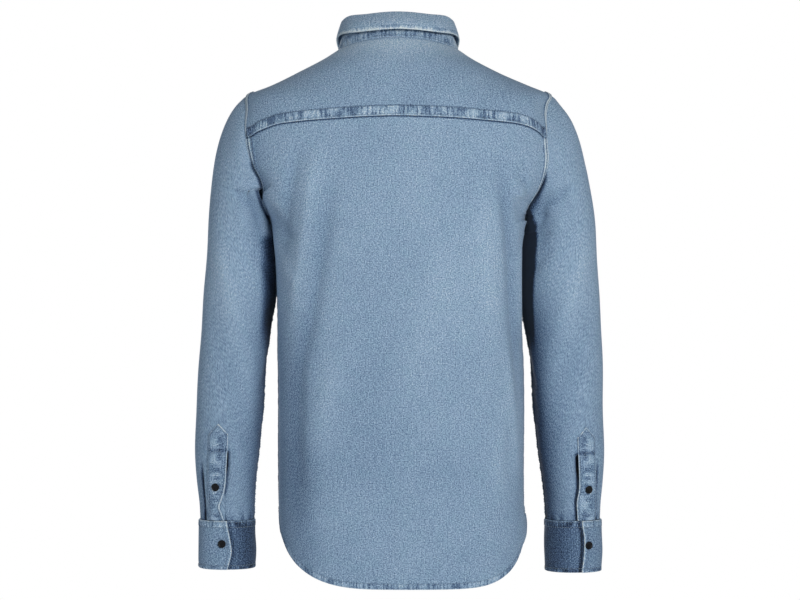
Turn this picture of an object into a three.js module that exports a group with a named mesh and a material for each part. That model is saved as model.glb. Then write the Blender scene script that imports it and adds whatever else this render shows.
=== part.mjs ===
// A long-sleeved denim shirt, filled out as it is worn, with nobody in it.
// Millimetres, +Z up. The back faces +Y, the front -Y, and the wearer's left is +X.
// The origin is between the shoulders, at the height where the neck seam crosses the shoulders.
import * as THREE from "three";

// Cloth
const WALL = 1.5; // one layer of denim with its seams
const DOUBLE_WALL = 2.2; // collar, cuffs and plackets, cut double
const SEAM_GAP = 0.3; // between two pieces at a seam
const LAY_GAP = 0.4; // under a piece that lies on another

// Torso, one row a ring from below the hem to the neck seam. A ring is a squared ellipse.
// side, back and front are its heights there; curlBack and curlFront are its exponents.
const BODY = [
  { side: -760, back: -760, front: -760, half: 161.5, deep: 110, chest: 107, curlBack: 2.9, curlFront: 2.3 },
  { side: -690, back: -690, front: -690, half: 163.5, deep: 111, chest: 108, curlBack: 2.9, curlFront: 2.3 },
  { side: -622, back: -622, front: -622, half: 165.5, deep: 112, chest: 109, curlBack: 2.9, curlFront: 2.3 },
  { side: -550, back: -550, front: -550, half: 165.6, deep: 112, chest: 110, curlBack: 2.9, curlFront: 2.3 },
  { side: -480, back: -480, front: -480, half: 165.4, deep: 112, chest: 111, curlBack: 2.9, curlFront: 2.3 },
  { side: -410, back: -410, front: -410, half: 165.2, deep: 113, chest: 113, curlBack: 2.9, curlFront: 2.25 },
  { side: -350, back: -350, front: -350, half: 165.8, deep: 115, chest: 117, curlBack: 2.9, curlFront: 2.2 },
  { side: -300, back: -300, front: -300, half: 167, deep: 118, chest: 121, curlBack: 2.9, curlFront: 2.2 },
  { side: -258, back: -258, front: -260, half: 169.5, deep: 120, chest: 124, curlBack: 2.9, curlFront: 2.2 },
  { side: -222, back: -226, front: -230, half: 177, deep: 121, chest: 125, curlBack: 2.85, curlFront: 2.3 },
  { side: -185, back: -196, front: -206, half: 198, deep: 121, chest: 124, curlBack: 2.75, curlFront: 2.4 },
  { side: -148, back: -165, front: -181, half: 212, deep: 120, chest: 121, curlBack: 2.7, curlFront: 2.4 },
  { side: -108, back: -134, front: -157, half: 216, deep: 117.5, chest: 116, curlBack: 2.6, curlFront: 2.4 },
  { side: -76, back: -105, front: -137, half: 212, deep: 113.5, chest: 109, curlBack: 2.45, curlFront: 2.3 },
  { side: -60, back: -79, front: -120, half: 204, deep: 108.5, chest: 101, curlBack: 2.35, curlFront: 2.25 },
  { side: -48, back: -52, front: -104, half: 174, deep: 101, chest: 91.5, curlBack: 2.25, curlFront: 2.2 },
  { side: -32.5, back: -25, front: -91, half: 140, deep: 90, chest: 80, curlBack: 2.15, curlFront: 2.1 },
  { side: -16, back: -5, front: -80, half: 106, deep: 77, chest: 68, curlBack: 2.05, curlFront: 2.05 },
  { side: 0, back: 12, front: -72, half: 81, deep: 64, chest: 58, curlBack: 2, curlFront: 2 },
];
const NECK = BODY.length - 1; // the ring of the neck seam

// Seams of the torso
const ARMPIT = { z: -222 };
const SHOULDER_TIP = { z: -60 };
const ARMHOLE_BACK = 67; // how far the armhole reaches behind the shoulder line
const ARMHOLE_FRONT = 63; // and before it
const ARMHOLE_STEPS = 24; // points round the armhole and the sleeve, from the shoulder tip over the back
const YOKE_BACK_STEP = 5; // the armhole point where the back yoke seam ends
const ARMPIT_STEP = 12;
const YOKE_FRONT_STEP = 22; // the armhole point where the forward shoulder seam ends
const YOKE = { centre: -94.3, fall: 10, fallAt: 165, fallPower: 1.6 };
const YOKE_CORNER = { drop: 12, from: 150, to: 196 }; // where the seam dips to the armhole
const NECK_SHOULDER = 118; // ring angle where the forward shoulder seam meets the neck seam
const BACK_COLUMNS = 24;
const FRONT_COLUMNS = 10;
const BODY_ROWS = 13; // from the hem to the armpit
const YOKE_ROWS = 6; // from the neck seam outwards
const LEAST_NECK_STEP = 4; // degrees between the yoke's lines at the neck seam, beside their own turns

// Shirt-tail hem: it drops from the side seams to the middle of the back and of the front.
const HEM = { side: -622, back: -714, front: -700 };
const HEM_CURVE = { left: { power: 3.5, root: 2 }, right: { power: 6, root: 2.6 } };

// Fronts and their placket
const PLACKET_HALF = 17;
const FRONT_MEET = 10; // the two fronts meet here under the placket, on the wearer's left
const PLACKET_ROWS = 26;

// Sleeve, one row a level ring from under the armpit to the cuff seam
const SLEEVE = [
  { z: -262, x: 216.0, y: -16, half: 46.6, deep: 60, turn: -12, square: 2.1 },
  { z: -300, x: 216.9, y: -17, half: 47.8, deep: 60, turn: -12, square: 2.1 },
  { z: -345, x: 218.6, y: -15, half: 48.8, deep: 59, turn: -8, square: 2.1 },
  { z: -395, x: 222.6, y: -11, half: 48.4, deep: 57, turn: -2, square: 2.1 },
  { z: -445, x: 226.4, y: -9, half: 46.8, deep: 54, turn: 0, square: 2.1 },
  { z: -495, x: 229.8, y: -9, half: 44.9, deep: 51, turn: 0, square: 2.1 },
  { z: -540, x: 232.0, y: -11, half: 43.4, deep: 48, turn: 0, square: 2.1 },
  { z: -580, x: 233.2, y: -13, half: 40.1, deep: 44.5, turn: 0, square: 2.1 },
  { z: -610, x: 233.2, y: -14, half: 37.2, deep: 40.5, turn: 0, square: 2.1 },
  { z: -632, x: 233.2, y: -14.5, half: 36.4, deep: 37.5, turn: 0, square: 2.1 },
];
const SLEEVE_HEAD_ROWS = 6; // from the armhole to the first ring
const SLEEVE_ROWS = 16; // from there to the cuff seam
const SLEEVE_HEAD = { topPull: 185, underPull: 44, endPull: 105, outwards: 0.86, down: 0.5 };
const SLIT = { top: -533, tuck: 12 };

// Cuff and sleeve placket
const CUFF = { top: -632.6, bottom: -696, x: 233.4, y: -14.5, half: 38.6, deep: 38.8 };
const CUFF_TUCK = 36; // degrees of the cuff under its lapped end
const CUFF_ROWS = 3;
const CUFF_COLUMNS = 26;
const SLEEVE_PLACKET = { top: -501, width: 25, point: 14, over: 2 };
const OPENING_STEP = { left: 6, right: 5 }; // the armhole point over each slit: behind, or further out

// Collar
const STAND = { back: 29.5, side: 33, front: 29, lean: 10.5, rows: 3, tuck: 11 };
const LEAF_ROLL = 3.6; // radius of the fold over the stand
const COLLAR_COLUMNS = 34;
const LEAF_EDGE = [
  { at: -45, x: -55, y: 54, z: 21 },
  { at: 0, x: 0, y: 73, z: 23.5 },
  { at: 45, x: 55, y: 54, z: 21 },
  { at: 75, x: 77, y: 20, z: 17 },
  { at: 100, x: 82.5, y: -17, z: 3 },
  { at: 125, x: 78, y: -46, z: -27 },
  { at: 145, x: 67, y: -70, z: -60 },
  { at: 163, x: 52, y: -84, z: -88 },
  { at: 177, x: 38, y: -91, z: -97 },
];

// Press studs
const SNAP = { radius: 5.8, height: 2.4, rim: 0.9, dish: 0.7, steps: 10 };
const FRONT_SNAPS = { first: -100, pitch: 95, count: 6 };
const PLACKET_SNAP_Z = -586;
const CUFF_SNAP_Z = -663;
const SNAP_INSET = 14; // from the lapped edge

// Large folds of the torso. Each x is the middle of the fold at its top, half way down and at its foot.
const BODY_FOLDS = [
  { face: "back", zTop: -130, zLow: -300, xTop: 130, xMid: 138, xLow: 133, width: 18, depth: -5 },
  { face: "back", zTop: -190, zLow: -520, xTop: 84, xMid: 122, xLow: 138, width: 19, depth: 3.6 },
  { face: "back", zTop: -400, zLow: -650, xTop: 128, xMid: 136, xLow: 140, width: 18, depth: -3.4 },
  { face: "back", zTop: -115, zLow: -520, xTop: -128, xMid: -146, xLow: -154, width: 17, depth: -5 },
  { face: "back", zTop: -150, zLow: -460, xTop: -106, xMid: -118, xLow: -128, width: 18, depth: 3 },
  { face: "back", zTop: -260, zLow: -600, xTop: -58, xMid: -70, xLow: -90, width: 34, depth: 1.8 },
  { face: "back", zTop: -280, zLow: -640, xTop: 30, xMid: 22, xLow: 46, width: 36, depth: -1.8 },
  { face: "front", zTop: -140, zLow: -330, xTop: 118, xMid: 128, xLow: 120, width: 19, depth: -5 },
  { face: "front", zTop: -200, zLow: -540, xTop: 88, xMid: 106, xLow: 116, width: 20, depth: 3.4 },
  { face: "front", zTop: -380, zLow: -640, xTop: 70, xMid: 62, xLow: 74, width: 24, depth: -2.6 },
  { face: "front", zTop: -130, zLow: -420, xTop: -116, xMid: -130, xLow: -134, width: 19, depth: -4.6 },
  { face: "front", zTop: -210, zLow: -560, xTop: -80, xMid: -94, xLow: -106, width: 20, depth: 3.2 },
  { face: "front", zTop: -400, zLow: -650, xTop: -60, xMid: -72, xLow: -66, width: 24, depth: -2.4 },
];

// Large folds of a sleeve, by the angle round it: 0 outside, 90 behind, 180 at the body, 270 before.
const SLEEVE_FOLDS = [
  { zTop: -175, zLow: -300, from: 128, to: 150, width: 16, depth: -3.5 },
  { zTop: -250, zLow: -400, from: 66, to: 112, width: 17, depth: 2.6 },
  { zTop: -330, zLow: -470, from: 50, to: 96, width: 18, depth: -2.2 },
  { zTop: -380, zLow: -540, from: 120, to: 140, width: 20, depth: 2.2 },
  { zTop: -200, zLow: -340, from: 232, to: 212, width: 16, depth: -3.2 },
  { zTop: -330, zLow: -480, from: 300, to: 252, width: 20, depth: 2.6 },
  { zTop: -400, zLow: -530, from: 270, to: 228, width: 18, depth: -2.4 },
  { zTop: -556, zLow: -640, from: 28, to: 24, width: 9, depth: -2.4 },
  { zTop: -566, zLow: -640, from: 352, to: 350, width: 9, depth: -2 },
];

// How far the whole shirt stands off its middle at each height
const LEAN = [
  { z: -760, x: -1.4 },
  { z: -220, x: -1.4 },
  { z: -70, x: 0 },
  { z: 0, x: 1.8 },
  { z: 60, x: 2.7 },
];

const radians = (degrees) => (degrees * Math.PI) / 180;
const mix = (a, b, t) => a + (b - a) * t;
const clamp01 = (t) => Math.min(1, Math.max(0, t));
const smooth = (t) => clamp01(t) ** 2 * (3 - 2 * clamp01(t));

// A value from a table at a row number that may lie between two rows, on a smooth curve through them.
function smoothRow(table, row, column) {
  const last = table.length - 1;
  const i = Math.min(last - 1, Math.max(0, Math.floor(row)));
  const t = row - i;
  const value = (k) => table[Math.min(last, Math.max(0, k))][column];
  const [a, b, c, d] = [value(i - 1), value(i), value(i + 1), value(i + 2)];
  const slopeB = i === 0 ? c - b : (c - a) / 2;
  const slopeC = i === last - 1 ? c - b : (d - b) / 2;
  const h = t * t * (3 - 2 * t);
  return b * (1 - h) + c * h + slopeB * t * (1 - t) ** 2 - slopeC * t * t * (1 - t);
}

// The value of a column where another column has a given value; that column rises or falls down the table.
function lookUp(table, key, wanted, column) {
  let low = 0;
  let high = table.length - 1;
  const rising = table[high][key] > table[0][key];
  for (let k = 0; k < 40; k++) {
    const middle = (low + high) / 2;
    if (smoothRow(table, middle, key) < wanted === rising) low = middle;
    else high = middle;
  }
  return smoothRow(table, (low + high) / 2, column);
}

// A soft ridge or trough: 1 on its line, fading across it and towards its two ends.
function foldWeight(across, along) {
  const ends = smooth(along / 0.3) * smooth((1 - along) / 0.35);
  return along <= 0 || along >= 1 ? 0 : Math.exp(-across * across) * ends;
}

// Where a squared ellipse lies at an angle from its first axis, as shares of its two half sizes.
function squaredEllipse(angle, square) {
  const [s, c] = [Math.sin(angle), Math.cos(angle)];
  const q = (Math.abs(s) ** square + Math.abs(c) ** square) ** (1 / square);
  return [c / q, s / q];
}

// The torso's outer surface. turn is 0 in the middle of the back, 90 at the wearer's left, 180 in front.
function bodyBase(turn, ring) {
  const angle = radians(turn);
  const back = Math.cos(angle) >= 0;
  const square = smoothRow(BODY, ring, back ? "curlBack" : "curlFront");
  const [c, s] = squaredEllipse(angle, square);
  const side = smoothRow(BODY, ring, "side");
  const end = smoothRow(BODY, ring, back ? "back" : "front");
  const depth = smoothRow(BODY, ring, back ? "deep" : "chest");
  const z = mix(side, end, Math.cos(angle) ** 2);
  return new THREE.Vector3(s * smoothRow(BODY, ring, "half"), c * depth, z);
}

function bodyFold(point) {
  const face = point.y > 0 ? "back" : "front";
  const away = smooth(Math.abs(point.y) / 45);
  let depth = 0;
  for (const fold of BODY_FOLDS) {
    if (fold.face !== face) continue;
    const along = (fold.zTop - point.z) / (fold.zTop - fold.zLow);
    const bend = 4 * (fold.xMid - (fold.xTop + fold.xLow) / 2) * along * (1 - along);
    const x = mix(fold.xTop, fold.xLow, along) + bend;
    depth += fold.depth * foldWeight((point.x - x) / fold.width, along);
  }
  return depth * away;
}

// The outward normal of a surface made by a function of two numbers.
function normalOf(surface, a, b, stepA, stepB) {
  const da = surface(a + stepA, b).sub(surface(a - stepA, b));
  const db = surface(a, b + stepB).sub(surface(a, b - stepB));
  return da.cross(db).normalize();
}

function bodyPoint(turn, ring) {
  const point = bodyBase(turn, ring);
  const normal = normalOf(bodyBase, turn, ring, -0.5, 0.05);
  return point.addScaledVector(normal, bodyFold(point));
}

const bodyNormal = (turn, ring) => normalOf(bodyPoint, turn, ring, -0.5, 0.05);

// The ring on which the torso has a height at a turn.
function ringAt(turn, z) {
  let low = 0;
  let high = NECK;
  for (let k = 0; k < 40; k++) {
    const middle = (low + high) / 2;
    if (bodyBase(turn, middle).z < z) low = middle;
    else high = middle;
  }
  return (low + high) / 2;
}

// The turn and ring where the torso has a y and a height, on the wearer's left.
function turnAndRing(y, z) {
  let low = 0;
  let high = NECK;
  let turn = 90;
  for (let k = 0; k < 40; k++) {
    const ring = (low + high) / 2;
    const back = y >= 0;
    const square = smoothRow(BODY, ring, back ? "curlBack" : "curlFront");
    const share = Math.min(0.99, Math.abs(y) / smoothRow(BODY, ring, back ? "deep" : "chest"));
    const across = (1 - share ** square) ** (1 / square);
    turn = 90 - Math.sign(y) * (Math.atan2(share, across) * 180) / Math.PI;
    if (bodyBase(turn, ring).z < z) low = ring;
    else high = ring;
  }
  return { turn, ring: (low + high) / 2 };
}

// The armhole of the wearer's left, as turns and rings of the torso.
const ARMHOLE = Array.from({ length: ARMHOLE_STEPS }, (_, k) => {
  const angle = (2 * Math.PI * k) / ARMHOLE_STEPS;
  const reach = Math.sin(angle) > 0 ? ARMHOLE_BACK : ARMHOLE_FRONT;
  const z = mix(SHOULDER_TIP.z, ARMPIT.z, (1 - Math.cos(angle)) / 2);
  return turnAndRing(Math.abs(Math.sin(angle)) < 1e-9 ? 0 : reach * Math.sin(angle), z);
});

function yokeSeamZ(x) {
  const away = Math.abs(x);
  const corner = Math.max(0, (away - YOKE_CORNER.from) / (YOKE_CORNER.to - YOKE_CORNER.from));
  return YOKE.centre - YOKE.fall * (away / YOKE.fallAt) ** YOKE.fallPower - YOKE_CORNER.drop * corner ** 2;
}

// The back yoke seam from the wearer's right to the left: share runs from -1 to 1.
function yokeSeam(share) {
  const corner = ARMHOLE[YOKE_BACK_STEP];
  const turn = corner.turn * share;
  let ring = corner.ring;
  for (let k = 0; k < 12; k++) ring = ringAt(turn, yokeSeamZ(bodyBase(turn, ring).x));
  const atCorner = smooth((Math.abs(share) - 0.9) / 0.1);
  return { turn, ring: mix(ring, corner.ring, atCorner) };
}

function hemRing(turn) {
  const point = bodyBase(turn, ringAt(turn, HEM.side));
  const share = Math.min(1, Math.abs(point.x) / bodyBase(90, ringAt(90, HEM.side)).x);
  const { power, root } = point.x > 0 ? HEM_CURVE.left : HEM_CURVE.right;
  const low = Math.abs(turn) < 90 ? HEM.back : HEM.front;
  return ringAt(turn, HEM.side + (low - HEM.side) * (1 - share ** power) ** (1 / root));
}

const armpitRing = (turn) => ringAt(turn, ARMPIT.z - 6 * Math.cos(radians(turn)) ** 2);

// A closed wall of cloth from a grid of outer points with normals. at(i, j) gives { p, n, t }.
// Rows for which joined(j) is true run on from the last column to the first.
function wall(columns, rows, at, thickness, joined = () => false) {
  const outer = [];
  const inner = [];
  for (let j = 0; j <= rows; j++) {
    for (let i = 0; i <= columns; i++) {
      const { p, n, t = thickness } = at(i, j);
      outer.push(p);
      inner.push(p.clone().addScaledVector(n, -t));
    }
  }
  const index = (i, j) => j * (columns + 1) + i;
  const triangles = [];
  const quad = (a, b, c, d) => {
    if (a.distanceTo(c) < b.distanceTo(d)) triangles.push(a, b, c, a, c, d);
    else triangles.push(a, b, d, b, c, d);
  };
  for (let j = 0; j < rows; j++) {
    for (let i = 0; i < columns; i++) {
      const corners = [index(i, j), index(i + 1, j), index(i + 1, j + 1), index(i, j + 1)];
      quad(...corners.map((k) => outer[k]));
      quad(...corners.map((k) => inner[k]).reverse());
    }
    if (joined(j) && joined(j + 1)) continue;
    for (const [i, low, high] of [[0, j + 1, j], [columns, j, j + 1]]) {
      quad(outer[index(i, low)], inner[index(i, low)], inner[index(i, high)], outer[index(i, high)]);
    }
  }
  for (let i = 0; i < columns; i++) {
    for (const [j, from, to] of [[0, i, i + 1], [rows, i + 1, i]]) {
      quad(outer[index(from, j)], inner[index(from, j)], inner[index(to, j)], outer[index(to, j)]);
    }
  }
  return triangles;
}

// Pulls the edge points of a panel back from its seams, along the grid.
function pulledBack(columns, rows, at, gap = SEAM_GAP / 2) {
  const towards = (p, next) => next.p.clone().sub(p).setLength(gap);
  return (i, j) => {
    const { p, n, t } = at(i, j);
    const moved = p.clone();
    if (i === 0) moved.add(towards(p, at(1, j)));
    if (i === columns) moved.add(towards(p, at(columns - 1, j)));
    if (j === 0) moved.add(towards(p, at(i, 1)));
    if (j === rows) moved.add(towards(p, at(i, rows - 1)));
    return { p: moved, n, t };
  };
}

const remembered = (at) => {
  const known = new Map();
  return (i, j) => {
    const key = i * 1000 + j;
    if (!known.has(key)) known.set(key, at(i, j));
    return known.get(key);
  };
};

// The body of a panel on the torso; where(i, j) gives a turn and a ring, out moves it off the surface.
function panel(columns, rows, where, thickness = WALL, out = 0) {
  const onBody = remembered((i, j) => {
    const { turn, ring } = where(i, j);
    const n = bodyNormal(turn, ring);
    return { p: bodyPoint(turn, ring).addScaledVector(n, out), n };
  });
  return wall(columns, rows, pulledBack(columns, rows, onBody), thickness);
}

const between = (a, b, t) => ({ turn: mix(a.turn, b.turn, t), ring: mix(a.ring, b.ring, t) });

function backPanel() {
  const upper = ARMPIT_STEP - YOKE_BACK_STEP;
  const where = (i, j) => {
    const share = (2 * i) / BACK_COLUMNS - 1;
    if (j <= BODY_ROWS) {
      const turn = 90 * share;
      return { turn, ring: mix(hemRing(turn), armpitRing(turn), j / BODY_ROWS) };
    }
    // Above the armpit the rows run between the armhole's points, and even out towards the middle.
    const edge = ARMHOLE[ARMPIT_STEP - (j - BODY_ROWS)];
    const up = (j - BODY_ROWS) / upper;
    const even = (at) => mix(armpitRing(edge.turn * at), yokeSeam(at).ring, up);
    return { turn: edge.turn * share, ring: even(share) + (edge.ring - even(1)) * Math.abs(share) ** 3 };
  };
  return panel(BACK_COLUMNS, BODY_ROWS + upper, where);
}

function shoulderSeam(t) {
  return between({ turn: NECK_SHOULDER, ring: NECK }, ARMHOLE[YOKE_FRONT_STEP], t);
}

function yoke() {
  const shoulder = ARMHOLE_STEPS - YOKE_FRONT_STEP + YOKE_BACK_STEP;
  const columns = 2 * shoulder + BACK_COLUMNS;
  const outerEdge = (i) => {
    if (i > columns / 2) {
      const { turn, ring } = outerEdge(columns - i);
      return { turn: -turn, ring };
    }
    if (i <= shoulder) return ARMHOLE[(YOKE_FRONT_STEP + i) % ARMHOLE_STEPS];
    return yokeSeam(1 - (2 * (i - shoulder)) / BACK_COLUMNS);
  };
  // The neck seam's points follow the turns of the outer edge, no two of them closer than a few degrees.
  const passed = [0];
  for (let i = 1; i <= columns; i++) {
    passed.push(passed[i - 1] + LEAST_NECK_STEP + Math.abs(outerEdge(i).turn - outerEdge(i - 1).turn));
  }
  const neckShare = (i) => passed[i] / passed[columns];
  const innerEdge = (i) => ({ turn: mix(NECK_SHOULDER, -NECK_SHOULDER, neckShare(i)), ring: NECK });
  const where = (i, j) => between(innerEdge(i), outerEdge(i), j / YOKE_ROWS);
  return panel(columns, YOKE_ROWS, where);
}

// A front of the wearer's left (side 1) or right (side -1), from its side seam to where the fronts meet.
function front(side) {
  const armholeRows = YOKE_FRONT_STEP - ARMPIT_STEP;
  const rows = BODY_ROWS + armholeRows + YOKE_ROWS;
  const meet = side * FRONT_MEET;
  const where = (i, j) => {
    const t = i / FRONT_COLUMNS;
    const above = j - BODY_ROWS - armholeRows;
    let edge;
    if (j <= BODY_ROWS) edge = { turn: 90, ring: mix(hemRing(90 * side), armpitRing(90), j / BODY_ROWS) };
    else edge = above <= 0 ? ARMHOLE[ARMPIT_STEP + j - BODY_ROWS] : shoulderSeam(1 - above / YOKE_ROWS);
    const up = clamp01((j - BODY_ROWS) / (rows - BODY_ROWS));
    const low = hemRing(side * 179.9);
    const middle = j <= BODY_ROWS ? mix(low, armpitRing(180), j / BODY_ROWS) : mix(armpitRing(180), NECK, up);
    const half = smoothRow(BODY, middle, "half");
    const centre = 180 - (Math.atan2(meet, half) * 180) / Math.PI;
    const turn = mix(edge.turn, centre, t);
    const hem = j <= BODY_ROWS ? mix(hemRing(turn * side), armpitRing(turn), j / BODY_ROWS) : null;
    const ring = hem ?? mix(edge.ring, middle, smooth(t) * 0.5 + t * 0.5);
    return { turn: turn * side, ring };
  };
  return panel(FRONT_COLUMNS, rows, where);
}

// The front placket lies on both fronts, down the middle.
function frontPlacket() {
  const columns = 3;
  const where = (i, j) => {
    const x = mix(PLACKET_HALF, -PLACKET_HALF, i / columns);
    const turnOf = (ring) => 180 - (Math.atan2(x, smoothRow(BODY, ring, "half")) * 180) / Math.PI;
    // The rows lie closer together over the chest, where the front curves most.
    const t = j / PLACKET_ROWS;
    const chest = ringAt(180, -260);
    const ring = t < 0.5 ? mix(hemRing(179.9), chest, t * 2) : mix(chest, NECK - 0.12, t * 2 - 1);
    return { turn: turnOf(ring), ring };
  };
  return panel(columns, PLACKET_ROWS, where, DOUBLE_WALL, DOUBLE_WALL + LAY_GAP);
}

// One level ring of the sleeve of the wearer's left. turn is 0 outside, 90 behind, 180 at the body.
function sleeveRing(turn, row) {
  const [c, s] = squaredEllipse(radians(turn), smoothRow(SLEEVE, row, "square"));
  const lean = radians(smoothRow(SLEEVE, row, "turn"));
  const x = c * smoothRow(SLEEVE, row, "half");
  const y = s * smoothRow(SLEEVE, row, "deep");
  return new THREE.Vector3(
    smoothRow(SLEEVE, row, "x") + x * Math.cos(lean) - y * Math.sin(lean),
    smoothRow(SLEEVE, row, "y") + x * Math.sin(lean) + y * Math.cos(lean),
    smoothRow(SLEEVE, row, "z"),
  );
}

function armholePoint(turn) {
  const step = (((turn % 360) + 360) % 360) / (360 / ARMHOLE_STEPS);
  const low = Math.floor(step + 1e-9);
  const [a, b] = [ARMHOLE[low % ARMHOLE_STEPS], ARMHOLE[(low + 1) % ARMHOLE_STEPS]];
  const point = (place) => bodyPoint(place.turn, place.ring);
  return point(a).lerp(point(b), Math.max(0, step - low));
}

// The sleeve's surface before its folds: row 0 at the armhole, 1 at the first ring, then down the table.
function sleeveBase(turn, row) {
  if (row >= 1) return sleeveRing(turn, row - 1);
  const start = armholePoint(turn);
  const end = sleeveRing(turn, 0);
  const over = (1 + Math.cos(radians(turn))) / 2;
  const side = Math.abs(Math.sin(radians(turn)));
  const topLeave = new THREE.Vector3(SLEEVE_HEAD.outwards, 0, -SLEEVE_HEAD.down);
  const leave = new THREE.Vector3(0.02, 0, -1).lerp(topLeave, over ** 0.8);
  leave.y += 0.1 * Math.sin(radians(turn)) * side;
  const pull = mix(SLEEVE_HEAD.underPull, SLEEVE_HEAD.topPull, over ** 1.2);
  leave.setLength(pull);
  const arrive = sleeveRing(turn, 0.2).sub(end);
  arrive.setLength(mix(SLEEVE_HEAD.underPull, SLEEVE_HEAD.endPull, over));
  const [t, t2, t3] = [row, row * row, row ** 3];
  return start
    .multiplyScalar(2 * t3 - 3 * t2 + 1)
    .addScaledVector(leave, t3 - 2 * t2 + t)
    .addScaledVector(end, 3 * t2 - 2 * t3)
    .addScaledVector(arrive, t3 - t2);
}

function sleevePoint(turn, row) {
  const point = sleeveBase(turn, row);
  let depth = 0;
  for (const fold of SLEEVE_FOLDS) {
    const along = (fold.zTop - point.z) / (fold.zTop - fold.zLow);
    const middle = mix(fold.from, fold.to, along);
    const away = ((((turn - middle) % 360) + 540) % 360) - 180;
    depth += fold.depth * foldWeight(away / fold.width, along);
  }
  const atCuff = 1 - smooth((point.z - SLEEVE[SLEEVE.length - 1].z) / 12);
  return point.addScaledVector(normalOf(sleeveBase, turn, row, 0.5, -0.02), depth * (1 - 0.6 * atCuff));
}

const sleeveNormal = (turn, row) => normalOf(sleevePoint, turn, row, 0.5, -0.02);

const sleeveRowAt = (z) => 1 + lookUp(SLEEVE.map((ring, row) => ({ ...ring, row })), "z", z, "row");
const SLIT_ROWS = [SLIT.top, -558, -583, -608, SLEEVE[SLEEVE.length - 1].z];

function sleeve(side) {
  const first = OPENING_STEP[side];
  const plain = SLEEVE_ROWS - SLIT_ROWS.length + 1;
  const levels = [];
  for (let j = 0; j <= SLEEVE_HEAD_ROWS; j++) levels.push(j / SLEEVE_HEAD_ROWS);
  for (let j = 1; j < plain; j++) levels.push(sleeveRowAt(mix(SLEEVE[0].z, SLIT.top, j / plain)));
  levels.push(...SLIT_ROWS.map(sleeveRowAt));
  const rows = levels.length - 1;
  const slitFrom = rows - SLIT_ROWS.length + 1;
  const at = remembered((i, j) => {
    const open = j <= slitFrom ? 0 : smooth((j - slitFrom) / 2);
    const under = i === 0 ? open : i === 1 ? open * 0.5 : 0;
    const turn = (360 / ARMHOLE_STEPS) * (first + i) - (i === 0 ? SLIT.tuck * open : 0);
    const n = sleeveNormal(turn, levels[j]);
    const p = sleevePoint(turn, levels[j]).addScaledVector(n, -under * (WALL + LAY_GAP));
    if (j > 0) return { p, n };
    // At the armhole the wall takes the slope of the torso's where the two run on from each other.
    const place = ARMHOLE[(first + i) % ARMHOLE_STEPS];
    const bodyN = bodyNormal(place.turn, place.ring);
    const shared = smooth(bodyN.dot(n) / 0.5);
    return { p: p.addScaledVector(n, -0.35 * (1 - shared)), n: n.lerp(bodyN, shared).normalize() };
  });
  const gapped = (i, j) => {
    const { p, n } = at(i, j);
    if (j > 0 && j < rows) return { p, n };
    const next = at(i, j === 0 ? 1 : rows - 1).p;
    return { p: p.clone().add(next.clone().sub(p).setLength(SEAM_GAP)), n };
  };
  return wall(ARMHOLE_STEPS, rows, gapped, WALL, (j) => j <= slitFrom);
}

// A strip on the sleeve's outer edge of the slit, pointed at its top.
function sleevePlacket(side) {
  const first = OPENING_STEP[side] * (360 / ARMHOLE_STEPS);
  const columns = 4;
  const zs = [SLEEVE_PLACKET.top - SLEEVE_PLACKET.point, SLIT.top, ...SLIT_ROWS.slice(1)];
  const rows = zs.length;
  const out = DOUBLE_WALL + LAY_GAP;
  const at = (i, j) => {
    const across = i / columns;
    const tip = SLEEVE_PLACKET.point * (1 - Math.abs(2 * across - 1));
    const z = j === 0 ? zs[0] + tip : zs[j - 1] + (j === 1 ? tip * 0.35 - 4 : j === rows ? 1 : 0);
    const row = sleeveRowAt(Math.min(z, SLEEVE_PLACKET.top));
    const arm = lookUp(SLEEVE, "z", z, "half") * 1.04;
    const degrees = ((SLEEVE_PLACKET.over - SLEEVE_PLACKET.width * across) / arm) * (180 / Math.PI);
    const turn = first + degrees;
    const n = sleeveNormal(turn, row);
    return { p: sleevePoint(turn, row).addScaledVector(n, out), n };
  };
  return wall(columns, rows, at, DOUBLE_WALL);
}

// The cuff's outer surface. wound is how far round the strip has gone from its lapped end, in degrees: it
// comes from the outside of the arm and tucks under itself after one turn.
function cuffPlace(side, wound, t) {
  const turn = OPENING_STEP[side] * (360 / ARMHOLE_STEPS) - wound;
  const under = smooth((wound - 300) / 60) * (DOUBLE_WALL + LAY_GAP);
  const [c, s] = squaredEllipse(radians(turn), 2);
  const swell = 1 + 0.02 * Math.sin(Math.PI * t);
  const x = CUFF.x + c * (CUFF.half * swell - under);
  const y = CUFF.y + s * (CUFF.deep * swell - under);
  return { p: new THREE.Vector3(x, y, mix(CUFF.top, CUFF.bottom, t)), n: new THREE.Vector3(c, s, 0) };
}

function cuff(side) {
  const at = (i, j) => cuffPlace(side, (i / CUFF_COLUMNS) * (360 + CUFF_TUCK), j / CUFF_ROWS);
  return wall(CUFF_COLUMNS, CUFF_ROWS, at, DOUBLE_WALL);
}

// The collar stand's outer surface: t is 0 at the neck seam and 1 at its top.
function standPoint(turn, t) {
  const angle = radians(turn);
  const [s, c] = [Math.sin(angle), Math.cos(angle)];
  const base = bodyBase(turn, NECK);
  const height = c > 0 ? mix(STAND.side, STAND.back, c * c) : mix(STAND.side, STAND.front, c * c);
  const inward = STAND.lean * (1 + 0.35 * Math.max(0, c));
  return base.add(new THREE.Vector3(-s * inward * t, -c * inward * t, height * t + SEAM_GAP + 0.3));
}

const standNormal = (turn, t) => normalOf(standPoint, turn, t, -0.5, 0.05);

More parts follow.
